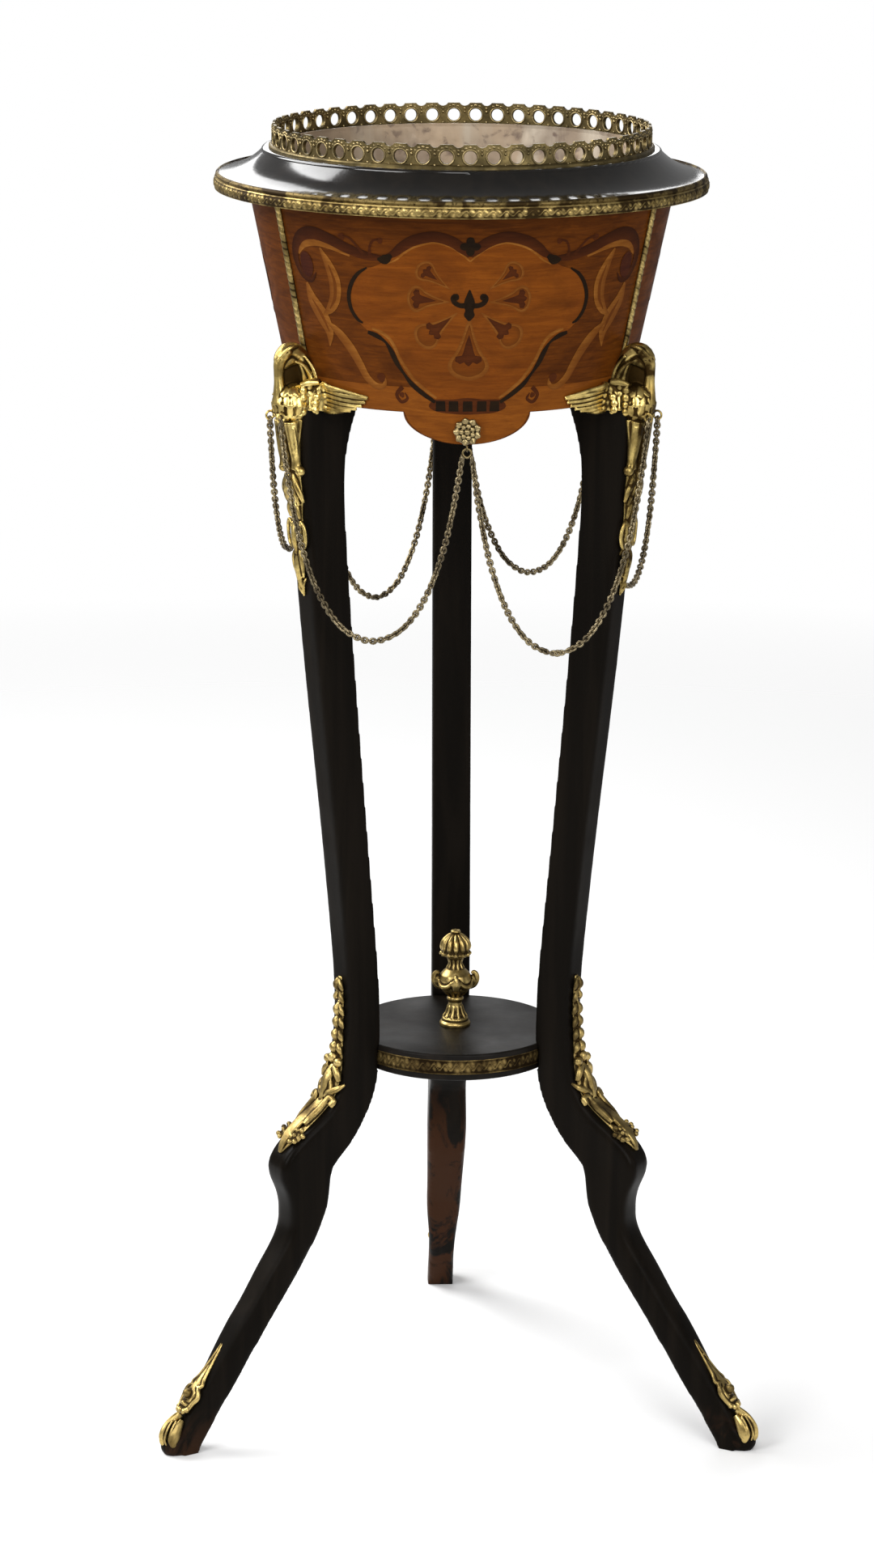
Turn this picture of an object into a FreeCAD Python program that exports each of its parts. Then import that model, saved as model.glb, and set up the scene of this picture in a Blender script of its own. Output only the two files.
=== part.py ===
import FreeCAD, Part
import Sketcher
import math
import os
import re
from FreeCAD import Matrix, Placement, Rotation, Vector

# Jardiniere stand: a bowl of three bowed panels on three cabriole legs,
# with an undertier, cast mounts, a pierced gallery, a lift-out liner and
# six chain swags. Lengths are in millimetres.
#
# Every piece is drawn about the stand's own upright axis, with the direction
# of one leg along +X, then turned to its azimuth. The stand's frame has its
# origin on the floor, under the middle of the whole stand's box.

doc = FreeCAD.newDocument("jardiniere_stand")

# Driving sizes: name, value and what it is
VALUES = (
    # bowl
    ("bowl_base_height", 926, "underside of the bowl above the floor"),
    ("bowl_depth", 172, "height of the panels above the legs"),
    ("bowl_base_radius", 146.3, "outside of the panels at their foot"),
    ("bowl_top_radius", 182.2, "outside of the panels under the rim"),
    ("panel_thickness", 10, "panel, measured level"),
    ("apron_drop", 27, "how far the lobe hangs below the panel"),
    ("apron_half_width", 53, "half the width of the lobe"),
    ("floor_thickness", 12, "board inside the bowl"),
    ("bead_radius", 3, "half-round bead over each joint of the panels"),
    # rim, its band and the gallery
    ("rim_height", 33.5, "rim moulding from the panels to its flat top"),
    ("rim_radius", 207, "wooden edge of the rim"),
    ("rim_edge_height", 12, "height of that edge"),
    ("rim_top_radius", 171, "top of the cove"),
    ("rim_nose", 3, "small round under the flat top"),
    ("rim_cove_radius", 62, "hollow of the cove"),
    ("rim_bore_radius", 155, "hole for the liner"),
    ("rim_tongue", 8, "ring under the rim that centres it in the panels"),
    ("rim_tongue_width", 9, "thickness of that ring"),
    ("band_height", 14, "brass band round the rim"),
    ("band_thickness", 5, "thickness of that band at its bulge"),
    ("band_bulge", 1.4, "how far the bulge stands out of its edges"),
    ("gallery_radius", 161.5, "outside of the pierced gallery"),
    ("gallery_height", 20, "gallery with its points"),
    ("gallery_thickness", 2.2, "gallery wall"),
    ("gallery_foot", 3.2, "moulded foot of the gallery, each way"),
    ("gallery_holes", 52, "holes round the gallery"),
    ("gallery_hole_radius", 5.3, "radius of a hole"),
    ("gallery_hole_height", 9.6, "middle of the holes above the rim"),
    ("gallery_dip_radius", 5.5, "hollow between two points"),
    ("gallery_dip", 2.6, "depth of that hollow"),
    ("gallery_pins", 6, "pins that hold the gallery"),
    ("pin_radius", 0.9, "brass fixing pins"),
    ("pin_length", 9, "how far a pin goes into the wood"),
    # liner and its lifting rings
    ("liner_wall", 1.2, "zinc sheet"),
    ("liner_gap", 1.5, "room round the liner in the rim"),
    ("liner_base_radius", 128, "outside of the liner at its bottom"),
    ("liner_floor_gap", 6, "room between the liner and the board"),
    ("liner_lip", 2.6, "rolled lip on the rim, each way"),
    ("lift_ring_radius", 13, "lifting ring, to the middle of its wire"),
    ("lift_ring_wire", 1.5, "radius of that wire"),
    ("lift_ring_drop", 16, "hinge of the ring below the top of the rim"),
    ("clip_width", 6, "strap that holds a lifting ring"),
    ("clip_wall", 1.4, "metal round the wire in the strap"),
    ("running_gap", 0.35, "clearance round a piece that moves"),
    ("solder_film", 0.02, "solder between a strap and the liner"),
    # undertier and finial
    ("undertier_height", 348.5, "top of the undertier above the floor"),
    ("undertier_thickness", 24.5, "whole disc"),
    ("undertier_radius", 90, "disc behind its band"),
    ("undertier_lip", 5, "rounded top edge above the band"),
    ("undertier_lip_reach", 2, "how far that edge stands out of the disc"),
    ("undertier_round", 2.4, "rounding of the disc's edges"),
    ("tier_band_height", 13, "brass band round the disc"),
    ("tier_band_thickness", 2.5, "thickness of that band"),
    ("tier_band_edge", 1.4, "thickness of that band at its edges"),
    ("finial_height", 88, "urn finial above the disc"),
    ("finial_foot_radius", 13.8, "foot of the urn"),
    ("finial_stem_radius", 6.8, "stem of the urn"),
    ("finial_body_radius", 15, "body of the urn"),
    ("finial_neck_radius", 8, "neck under the dome"),
    ("finial_dome_radius", 13.3, "ribbed dome"),
    ("finial_knob_radius", 3.6, "knob on the dome"),
    ("finial_mask_reach", 16, "middle of a mask from the urn's axis"),
    ("finial_mask_radius", 6, "roundness of a mask"),
    ("finial_masks", 4, "masks round the body"),
    ("stud_radius", 3, "stud that holds the urn"),
    ("stud_depth", 14, "stud inside the urn"),
    ("nut_height", 5, "nut under the disc"),
    ("nut_radius", 6, "nut, to its corners"),
    ("washer_radius", 9, "washer over the nut"),
    ("washer_thickness", 1.5, "washer"),
    # legs
    ("leg_width", 34.4, "leg across, down to the knee"),
    ("leg_foot_width", 24.4, "leg across, at the floor"),
    ("leg_taper_height", 385, "where the leg starts to narrow"),
    ("leg_round", 6.5, "rounding of the outer edges"),
    ("crest_height", 946, "tip of the leg outside the bowl"),
    ("crest_edge", 3, "thickness of that tip"),
    ("shoulder_height", 905, "outer face, widest under the bowl"),
    ("shoulder_radius", 167, "outer face there"),
    ("ear_radius", 112, "inner tip under the bowl"),
    ("armpit_height", 852, "inner face, furthest out under the bowl"),
    ("armpit_radius", 125.8, "inner face there"),
    ("waist_height", 395, "outer face, furthest in"),
    ("waist_radius", 118.5, "outer face there"),
    ("hollow_height", 360, "inner face, furthest in"),
    ("hollow_radius", 88, "inner face there"),
    ("knee_height", 248, "outer face of the knee"),
    ("knee_radius", 186.5, "outer face there"),
    ("notch_height", 242, "sharp corner behind the knee"),
    ("notch_radius", 135.5, "inner face there"),
    ("ankle_height", 195, "outer face under the knee"),
    ("ankle_radius", 172.5, "outer face there"),
    ("toe_height", 9, "outer face of the toe"),
    ("toe_radius", 291, "outer face there"),
    ("heel_radius", 271, "inner end of the sole"),
    ("leg_screw_radius", 2.5, "screws into the legs"),
    ("leg_screw_length", 46, "screws down from the bowl's floor"),
    ("leg_screw_reach", 130.5, "those screws from the stand's axis"),
    ("leg_screw_spacing", 18, "between the two screws of a leg"),
    ("tier_screw_bite", 12, "how far the screws of the legs go into the undertier"),
    ("tier_screw_sink", 2, "how deep the heads of those screws sit in a leg"),
    ("screw_head_radius", 4.4, "heads of the screws"),
    ("screw_head_height", 2.6, "height of a head"),
    # cast mounts
    ("mount_thickness", 6, "thickness of the cast mounts"),
    ("mount_pin_depth", 10, "fixing pins in the leg"),
    ("breast_height", 925, "middle of the bird's breast"),
    ("breast_depth", 15, "breast, half its size outward"),
    ("breast_half_width", 17, "breast, half its width"),
    ("breast_half_height", 20, "breast, half its height"),
    ("head_height", 968, "middle of the bird's head"),
    ("head_radius", 7.5, "roundness of the head"),
    ("head_length", 11, "head, half its length"),
    ("neck_radius", 4.2, "roundness of the neck"),
    ("neck_span", 9.5, "half the space between neck and bill"),
    ("neck_rise", 19, "half the height of that space"),
    ("drop_foot_height", 757, "tip of the drop below the bird"),
    ("drop_width", 26, "drop below the bird"),
    ("wing_span", 62, "wing tip from the middle of the leg"),
    ("wing_root_top", 946, "wing where it starts, upper edge"),
    ("wing_root_foot", 912, "wing where it starts, lower edge"),
    ("wing_tip_height", 934, "tip of the wing"),
    ("wing_thickness", 6, "wing"),
    ("eye_radius", 3.6, "eyes for the chains, to the middle of the wire"),
    ("eye_wire", 1.1, "radius of that wire"),
    ("eye_spacing", 18, "between the two eyes of a bird"),
    ("eye_height", 914.5, "middle of the eyes"),
    ("eye_reach", 184.5, "eyes from the stand's axis"),
    ("knee_mount_top", 412, "top of the knee mount"),
    ("knee_mount_foot", 250, "leaf tip over the knee"),
    ("knee_mount_width", 30, "widest place of the knee mount"),
    ("sabot_top", 96, "leaf tip of the foot mount"),
    ("sabot_cap_height", 45, "cap round the toe"),
    ("sabot_toe_radius", 311, "foot mount at its furthest"),
    ("sabot_toe_height", 13, "height of that place"),
    ("sabot_side", 2.4, "cap over the sides of the toe"),
    ("sabot_back", 15, "how far the cap reaches back from the toe"),
    ("sabot_knob_height", 53, "knob of the foot mount"),
    ("sabot_knob_radius", 7, "roundness of that knob"),
    ("sabot_knob_reach", 13, "middle of the knob out of the leg"),
    # rosettes and chains
    ("rosette_radius", 12.3, "rosette"),
    ("rosette_depth", 6.5, "height of a rosette"),
    ("rosette_petals", 8, "petals"),
    ("rosette_height", 911, "middle of a rosette above the floor"),
    ("petal_gap_radius", 2.2, "hollow between two petals"),
    ("shank_radius", 1.6, "shank of a rosette"),
    ("shank_nut_radius", 4, "nut inside the apron"),
    ("shank_nut_height", 2.4, "height of that nut"),
    ("lug_radius", 2.2, "eye under a rosette, to the middle of its wire"),
    ("lug_wire", 0.8, "radius of that wire"),
    ("ring_radius", 3.6, "ring in that eye, to the middle of its wire"),
    ("ring_wire", 1.0, "radius of that wire"),
    ("chain_radius", 3.5, "half the width of a chain"),
    ("chain_gap", 0.8, "between a chain's end and its eye or ring"),
    ("chain_spacing", 8.6, "between the two chains on a ring"),
    ("overrun", 2, "how far a cut runs past what it cuts"),
)

NAMES = {name for name, value, note in VALUES}

sheet = doc.addObject("Spreadsheet::Sheet", "sizes")
for row, (name, value, note) in enumerate(VALUES, start=1):
    sheet.set("A%d" % row, name)
    sheet.set("B%d" % row, str(value))
    sheet.set("C%d" % row, note)
    sheet.setAlias("B%d" % row, name)
doc.recompute()

# Azimuths of the three legs and of the three rosettes between them
LEGS = {"front_left": -150, "front_right": -30, "back": 90}
SIDES = {"front": -90, "rear_right": 30, "rear_left": 150}
LIFT_RINGS = {"left": 180, "right": 0}
LEG_STEP = 120
FULL_TURN = 360
UP = Vector(0, 0, 1)
OUT = Vector(1, 0, 0)
ACROSS = Vector(0, 1, 0)

# Sizes that follow from the driving ones, as expressions
RIM_FOOT = "(bowl_base_height + bowl_depth)"
RIM_TOP = "(bowl_base_height + bowl_depth + rim_height)"
WALL_SLOPE = "((bowl_top_radius - bowl_base_radius) / bowl_depth)"
APRON_FOOT = "(bowl_base_height - apron_drop)"
TIER_FOOT = "(undertier_height - undertier_thickness)"
TIER_BAND_TOP = "(undertier_height - undertier_lip)"
TIER_BAND_FOOT = "(undertier_height - undertier_lip - tier_band_height)"
TIER_SCREW_HEIGHT = "(undertier_height - undertier_lip - tier_band_height / 2)"
TIER_SCREW_END = "(undertier_radius - tier_screw_bite)"
AXIS_Y = "(rim_radius + band_thickness - sabot_toe_radius) / 2"

PIECES = []


def bound(text):
    """The expression with every named size looked up in the sheet."""
    def looked_up(word):
        return "sizes." + word.group() if word.group() in NAMES else word.group()
    return re.sub(r"[a-z_]+", looked_up, text)


def size(text):
    """The value of an expression of named sizes."""
    return float(sheet.evalExpression(bound(text)))


def wall_radius(height):
    """The outside of the panels at a height, as an expression."""
    return "(bowl_base_radius + (%s - bowl_base_height) * %s)" % (height, WALL_SLOPE)


def bulge(chord, rise):
    """The radius of an arc that stands out by a rise over a chord, as an expression."""
    return "(((%s) / 2) ^ 2 + (%s) ^ 2) / (2 * (%s))" % (chord, rise, rise)


def bind(thing, **properties):
    """Ties properties of an object to expressions of named sizes."""
    for name, text in properties.items():
        thing.setExpression(name, bound(text))
    return thing


def place(piece, azimuth=0.0):
    """Turns a finished piece to its azimuth and puts it on the stand's axis."""
    local = piece.Placement
    turned = Placement(Vector(0, size(AXIS_Y), 0), Rotation(UP, azimuth))
    piece.Placement = turned.multiply(local)
    if local.Base.Length == 0:
        piece.setExpression("Placement.Base.y", bound(AXIS_Y))
    PIECES.append(piece)
    return piece


def finished(label, shape, azimuth=0.0):
    """A finished piece whose form is worked out by functions."""
    piece = doc.addObject("Part::Feature", label)
    piece.Shape = shape
    return place(piece, azimuth)


# Sketches and the features of a body


def origin_part(body, role):
    """A plane or an axis of the body's own origin."""
    return next(f for f in body.Origin.OriginFeatures if f.Role == role)


def sketch_on(body, name, plane, offset=None):
    """An empty sketch on an origin plane, moved out along its normal."""
    sketch = body.newObject("Sketcher::SketchObject", name)
    sketch.AttachmentSupport = [(origin_part(body, plane), "")]
    sketch.MapMode = "FlatFace"
    if offset:
        sketch.setExpression("AttachmentOffset.Base.z", bound(offset))
    return sketch


def hold(sketch, constraint, text):
    """Adds a constraint and ties its value to an expression."""
    index = sketch.addConstraint(constraint)
    sketch.setExpression("Constraints[%d]" % index, bound(text))


def hold_point(sketch, edge, end, across, up):
    """Fixes a sketch point at a distance from each of the sketch's axes."""
    for kind, axis, text in (("DistanceX", -2, across), ("DistanceY", -1, up)):
        value = size(text)
        if value == 0:
            sketch.addConstraint(Sketcher.Constraint("PointOnObject", edge, end, axis))
        else:
            hold(sketch, Sketcher.Constraint(kind, -1, 1, edge, end, value), text)


def profile(body, name, corners, arcs=None):
    """A closed outline of straight edges and arcs between bound corners.

    arcs maps the number of an edge to its radius and to the side it bulges
    to: 1 is the right hand of its direction, -1 the left.
    """
    arcs = arcs or {}
    sketch = sketch_on(body, name, "XZ_Plane")
    places = [Vector(size(across), size(up), 0) for across, up in corners]
    starts = []
    ends = []
    for number, start in enumerate(places):
        end = places[(number + 1) % len(places)]
        if number in arcs:
            text, side = arcs[number]
            radius = size(text)
            middle = (start + end) / 2
            half = (end - start).Length / 2
            normal = Vector(end.y - start.y, start.x - end.x, 0).normalize()
            sagitta = radius - math.sqrt(radius ** 2 - half ** 2)
            curve = Part.Arc(start, middle + normal * sagitta * side, end)
            edge = sketch.addGeometry(curve, False)
            first = sketch.getPoint(edge, 1)
            forward = (first - start).Length < (first - end).Length
            hold(sketch, Sketcher.Constraint("Radius", edge, radius), text)
        else:
            edge = sketch.addGeometry(Part.LineSegment(start, end), False)
            forward = True
        starts.append((edge, 1 if forward else 2))
        ends.append((edge, 2 if forward else 1))
    for number, (across, up) in enumerate(corners):
        before = ends[number - 1]
        here = starts[number]
        sketch.addConstraint(Sketcher.Constraint("Coincident", *before, *here))
        hold_point(sketch, *here, across, up)
    return sketch


def turned(label, corners, arcs=None):
    """A body turned about the upright axis from its half section."""
    body = doc.addObject("PartDesign::Body", label)
    sketch = profile(body, label + "_section", corners, arcs)
    turning = body.newObject("PartDesign::Revolution", label + "_turning")
    turning.Profile = sketch
    turning.ReferenceAxis = (sketch, ["V_Axis"])
    turning.Angle = FULL_TURN
    doc.recompute()
    return body


def drilled(body, name, plane, circles, offset, length, count):
    """Round holes from an offset plane outward, repeated about the upright axis.

    circles holds the place of each hole on the plane and its radius.
    """
    before = body.Shape.Volume
    sketch = sketch_on(body, name + "_circles", plane, offset)
    for across, up, radius in circles:
        centre = Vector(size(across), size(up), 0)
        edge = sketch.addGeometry(Part.Circle(centre, UP, size(radius)), False)
        hold(sketch, Sketcher.Constraint("Radius", edge, size(radius)), radius)
        hold_point(sketch, edge, 3, across, up)
    pocket = body.newObject("PartDesign::Pocket", name)
    pocket.Profile = sketch
    pocket.Reversed = True
    bind(pocket, Length=length)
    pattern = body.newObject("PartDesign::PolarPattern", name + "_round")
    pattern.Originals = [pocket]
    pattern.Axis = (origin_part(body, "Z_Axis"), [""])
    pattern.Angle = FULL_TURN
    bind(pattern, Occurrences=count)
    body.Tip = pattern
    doc.recompute()
    assert body.Shape.Volume < before, name + " cut nothing"
    return body


# Solids made by functions


def points_at(pairs):
    """Points of the plane through the leg, from (height, radius) pairs."""
    return [Vector(radius, 0, height) for height, radius in pairs]


def smooth(points):
    """One smooth edge through points."""
    curve = Part.BSplineCurve()
    curve.interpolate(points)
    return curve.toShape()


def slab(edges, direction, depth):
    """A closed outline thickened both ways along a direction."""
    face = Part.Face(Part.Wire(edges))
    face.translate(direction * (-depth / 2))
    return face.extrude(direction * depth)


def polygon(points):
    """The straight edges of a closed outline."""
    return [Part.LineSegment(a, b).toShape() for a, b in zip(points, points[1:] + points[:1])]


def ball(centre, half_sizes):
    """An ellipsoid with its three half sizes along the axes."""
    matrix = Matrix()
    matrix.scale(half_sizes)
    shape = Part.makeSphere(1).transformGeometry(matrix)
    shape.translate(centre)
    return shape


def rod(start, direction, radius, length):
    """A round rod from a point."""
    return Part.makeCylinder(radius, length, start, direction)


def between(start, end, shares):
    """Places between two (height, radius) pairs, as shares of the way in each."""
    return [(start[0] + (end[0] - start[0]) * rise, start[1] + (end[1] - start[1]) * reach)
            for rise, reach in shares]


# Bowl: panels, their beads and the board inside


def wall_cone(label, inset, angle=FULL_TURN):
    """The cone of the panels from the apron's foot to the rim, moved inward."""
    cone = doc.addObject("Part::Cone", label)
    cone.Placement = Placement(Vector(0, 0, 0), Rotation(UP, -angle / 2))
    bind(cone,
         Radius1="%s - %s" % (wall_radius(APRON_FOOT), inset),
         Radius2="bowl_top_radius - %s" % inset,
         Height="bowl_depth + apron_drop")
    cone.setExpression("Placement.Base.z", bound(APRON_FOOT))
    cone.Angle = angle
    return cone


def lobe_mask(label):
    """What the panel keeps: all above the legs, and the lobe under them."""
    upper = doc.addObject("Part::Box", label + "_upper")
    bind(upper, Length="bowl_top_radius + overrun", Width="2 * bowl_top_radius",
         Height="bowl_depth + overrun")
    upper.setExpression("Placement.Base.y", bound("-bowl_top_radius"))
    upper.setExpression("Placement.Base.z", bound("bowl_base_height"))
    oval = doc.addObject("Part::Ellipse", label + "_oval")
    oval.Placement = Placement(Vector(0, 0, 0), Rotation(Vector(0, 1, 0), Vector(0, 0, 1), OUT, "ZXY"))
    bind(oval, MajorRadius="apron_half_width", MinorRadius="apron_drop")
    oval.setExpression("Placement.Base.z", bound("bowl_base_height"))
    lobe = doc.addObject("Part::Extrusion", label + "_lobe")
    lobe.Base = oval
    lobe.DirMode = "Custom"
    lobe.Dir = OUT
    lobe.Solid = True
    bind(lobe, LengthFwd="bowl_top_radius")
    mask = doc.addObject("Part::Fuse", label + "_mask")
    mask.Base = upper
    mask.Tool = lobe
    return mask


def make_panel(side, azimuth):
    """A bowed panel between two legs, with the scalloped apron and a shank hole."""
    label = "marquetry_panel_" + side
    shell = doc.addObject("Part::Cut", label + "_shell")
    shell.Base = wall_cone(label + "_outside", "0", LEG_STEP)
    shell.Tool = wall_cone(label + "_inside", "panel_thickness")
    cut = doc.addObject("Part::Common", label + "_scalloped")
    cut.Base = shell
    cut.Tool = lobe_mask(label)
    hole = doc.addObject("Part::Cylinder", label + "_hole")
    hole.Placement = Placement(Vector(0, 0, 0), Rotation(UP, OUT))
    bind(hole, Radius="shank_radius", Height="bowl_base_radius + overrun")
    hole.setExpression("Placement.Base.z", bound("rosette_height"))
    panel = doc.addObject("Part::Cut", label)
    panel.Base = cut
    panel.Tool = hole
    place(panel, azimuth)


def make_bead(name, azimuth):
    """A half-round bead up the joint of two panels, from the leg to the rim."""
    label = "corner_bead_" + name
    run = doc.addObject("Part::Cylinder", label + "_rod")
    lean = math.degrees(math.atan(size(WALL_SLOPE)))
    run.Placement = Placement(Vector(0, 0, 0), Rotation(ACROSS, lean))
    bind(run, Radius="bead_radius",
         Height="(%s - crest_height) / cos(atan(%s))" % (RIM_FOOT, WALL_SLOPE))
    run.setExpression("Placement.Base.x", bound(wall_radius("crest_height")))
    run.setExpression("Placement.Base.z", bound("crest_height"))
    trim = doc.addObject("Part::Cylinder", label + "_level")
    bind(trim, Radius="bowl_top_radius + 2 * bead_radius", Height="%s - crest_height" % RIM_FOOT)
    trim.setExpression("Placement.Base.z", bound("crest_height"))
    level = doc.addObject("Part::Common", label + "_trimmed")
    level.Base = run
    level.Tool = trim
    bead = doc.addObject("Part::Cut", label)
    bead.Base = level
    bead.Tool = wall_cone(label + "_wall", "0")
    place(bead, azimuth)


def make_floor():
    """The board inside the bowl, resting on the legs, with the screw holes."""
    top = "(bowl_base_height + floor_thickness)"
    body = turned("bowl_floor", (
        ("0", "bowl_base_height"),
        ("bowl_base_radius - panel_thickness", "bowl_base_height"),
        ("%s - panel_thickness" % wall_radius(top), top),
        ("0", top)))
    spots = [("leg_screw_reach", sign + "leg_screw_spacing / 2", "leg_screw_radius")
             for sign in ("", "-")]
    drilled(body, "screw_hole", "XY_Plane", spots, "bowl_base_height - overrun",
            "floor_thickness + 2 * overrun", str(len(LEGS)))
    place(body, LEGS["back"])


# Rim, its band and the gallery


def make_rim():
    """The ebonised rim: a cove from the edge up to the flat top, with a tongue."""
    tongue_foot = "(%s - rim_tongue)" % RIM_FOOT
    tongue_radius = "(%s - panel_thickness)" % wall_radius(tongue_foot)
    edge_top = "(%s + rim_edge_height)" % RIM_FOOT
    body = turned("rim_moulding", (
        ("rim_bore_radius", RIM_FOOT),
        (tongue_radius + " - rim_tongue_width", RIM_FOOT),
        (tongue_radius + " - rim_tongue_width", tongue_foot),
        (tongue_radius, tongue_foot),
        ("bowl_top_radius - panel_thickness", RIM_FOOT),
        ("rim_radius", RIM_FOOT),
        ("rim_radius", edge_top),
        ("rim_top_radius", "%s - rim_nose" % RIM_TOP),
        ("rim_top_radius - rim_nose", RIM_TOP),
        ("rim_bore_radius", RIM_TOP)),
        {6: ("rim_cove_radius", -1), 7: ("rim_nose", 1)})
    spot = [("gallery_radius + gallery_foot / 2", "0", "pin_radius")]
    drilled(body, "pin_hole", "XY_Plane", spot, "%s - pin_length" % RIM_TOP,
            "pin_length + overrun", "gallery_pins")
    place(body)


def make_band():
    """The brass band round the edge of the rim: a bulge with a small nose over it."""
    foot = "(%s - (band_height - rim_edge_height) / 2)" % RIM_FOOT
    edge = "rim_radius + band_thickness - band_bulge"
    body = turned("rim_band", (
        ("rim_radius", foot),
        (edge, foot),
        (edge, foot + " + band_height * 0.64"),
        ("rim_radius + band_thickness * 0.4", foot + " + band_height * 0.7"),
        ("rim_radius + band_thickness * 0.7", foot + " + band_height * 0.8"),
        ("rim_radius", foot + " + band_height")),
        {1: (bulge("band_height * 0.64", "band_bulge"), 1)})
    place(body)


def make_gallery():
    """The pierced gallery: a thin ring on a moulded foot, with holes and points."""
    inside = "gallery_radius - gallery_thickness"
    top = "(%s + gallery_height)" % RIM_TOP
    body = turned("gallery", (
        (inside, RIM_TOP),
        ("gallery_radius + gallery_foot", RIM_TOP),
        ("gallery_radius + gallery_foot", "%s + gallery_foot / 2" % RIM_TOP),
        ("gallery_radius", "%s + gallery_foot" % RIM_TOP),
        ("gallery_radius", top),
        (inside, top)),
        {2: ("gallery_foot", 1)})
    spot = [("gallery_radius + gallery_foot / 2", "0", "pin_radius")]
    drilled(body, "pin_hole", "XY_Plane", spot, "%s - overrun" % RIM_TOP,
            "gallery_foot + 2 * overrun", "gallery_pins")
    half_pitch = "gallery_radius * sin(180 / gallery_holes)"
    piercing = [
        ("0", "%s + gallery_hole_height" % RIM_TOP, "gallery_hole_radius"),
        (half_pitch, "%s + gallery_dip_radius - gallery_dip" % top, "gallery_dip_radius")]
    drilled(body, "piercing", "XZ_Plane", piercing, "gallery_radius / 2",
            "gallery_radius", "gallery_holes")
    place(body)


def make_gallery_pins():
    """Small pins through the gallery's foot into the rim."""
    length = size("pin_length + gallery_foot")
    start = Vector(size("gallery_radius + gallery_foot / 2"), 0, size("%s - pin_length" % RIM_TOP))
    pin = rod(start, UP, size("pin_radius"), length)
    count = int(size("gallery_pins"))
    pins = [pin.rotated(Vector(0, 0, 0), UP, FULL_TURN * n / count) for n in range(count)]
    finished("gallery_pins", Part.Compound(pins))


# Liner and its lifting rings


def make_liner():
    """The zinc liner: a tapered pan with a rolled lip that rests on the rim."""
    foot = "(bowl_base_height + floor_thickness + liner_floor_gap)"
    neck = "(rim_bore_radius - liner_gap)"
    lip_top = "(%s + liner_lip)" % RIM_TOP
    body = turned("liner", (
        ("0", foot),
        ("liner_base_radius", foot),
        (neck, RIM_TOP),
        (neck + " + liner_lip * 1.5", RIM_TOP),
        (neck + " + liner_lip * 1.5", "%s + liner_lip * 0.4" % RIM_TOP),
        (neck + " + liner_lip * 0.6", lip_top),
        (neck + " - liner_wall", lip_top),
        (neck + " - liner_wall", RIM_TOP),
        ("liner_base_radius - liner_wall", foot + " + liner_wall"),
        ("0", foot + " + liner_wall")),
        {4: ("liner_lip", 1)})
    place(body)


def liner_inside(height):
    """The inside of the liner's wall at a height."""
    foot = size("bowl_base_height + floor_thickness + liner_floor_gap")
    share = (height - foot) / (size(RIM_TOP) - foot)
    neck = size("rim_bore_radius - liner_gap - liner_wall")
    base = size("liner_base_radius - liner_wall")
    return base + (neck - base) * share


def clip_bore():
    """The hole of a strap, wide enough for the ring's bend as it turns."""
    radius = size("lift_ring_radius")
    bend = radius - math.sqrt(radius ** 2 - size("clip_width / 2") ** 2)
    return size("lift_ring_wire + running_gap") + bend


def lift_hinge():
    """Where a lifting ring's wire turns in its strap: radius and height."""
    height = size("%s - lift_ring_drop" % RIM_TOP)
    return liner_inside(height) - clip_bore() - size("clip_wall"), height


def liner_lean():
    """How far the liner's wall leans from upright, in degrees."""
    step = size("lift_ring_radius")
    height = size("%s - lift_ring_drop" % RIM_TOP)
    return math.degrees(math.atan((liner_inside(height) - liner_inside(height - step)) / step))


def make_lift_ring(name, azimuth):
    """A wire ring that hangs in its strap and rests along the liner's wall."""
    reach, height = lift_hinge()
    ring = doc.addObject("Part::Torus", "lift_ring_" + name)
    bind(ring, Radius1="lift_ring_radius", Radius2="lift_ring_wire")
    drop = size("lift_ring_radius")
    lean = Rotation(ACROSS, liner_lean())
    down = lean.multVec(Vector(0, 0, -drop))
    ring.Placement = Placement(Vector(reach, 0, height) + down, lean.multiply(Rotation(UP, OUT)))
    place(ring, azimuth)


def make_clips(azimuths):
    """The straps soldered inside the liner, each bored for its ring's wire."""
    reach, height = lift_hinge()
    outer = clip_bore() + size("clip_wall")
    half = size("clip_width") / 2
    strap = rod(Vector(reach, -half, height), ACROSS, outer, 2 * half)
    pad = Part.makeBox(2 * outer, 2 * half, 2 * outer, Vector(reach, -half, height - outer))
    hole = rod(Vector(reach, -half - outer, height), ACROSS, clip_bore(), 2 * half + 2 * outer)
    foot = size("bowl_base_height + floor_thickness + liner_floor_gap")
    film = size("solder_film")
    inside = Part.makeCone(liner_inside(foot) - film, liner_inside(size(RIM_TOP)) - film,
                           size(RIM_TOP) - foot, Vector(0, 0, foot), UP)
    clip = strap.fuse(pad).common(inside).cut(hole)
    finished("liner_clips", Part.Compound([
        clip.rotated(Vector(0, 0, 0), UP, azimuth) for azimuth in azimuths]))


# Undertier and its urn finial


def make_undertier():
    """The ebonised disc between the legs, bored for the stud and the screws."""
    out = "(undertier_radius + undertier_lip_reach)"
    body = turned("undertier", (
        ("stud_radius", TIER_FOOT),
        ("undertier_radius - undertier_round", TIER_FOOT),
        ("undertier_radius", TIER_FOOT + " + undertier_round"),
        ("undertier_radius", TIER_BAND_TOP),
        (out, TIER_BAND_TOP),
        (out, "undertier_height - undertier_round"),
        (out + " - undertier_round", "undertier_height"),
        ("stud_radius", "undertier_height")),
        {1: ("undertier_round", 1), 5: ("undertier_round", 1)})
    drilled(body, "screw_hole", "YZ_Plane", [("0", TIER_SCREW_HEIGHT, "leg_screw_radius")],
            TIER_SCREW_END, "tier_screw_bite + tier_band_thickness + overrun", str(len(LEGS)))
    place(body, LEGS["back"])


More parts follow.
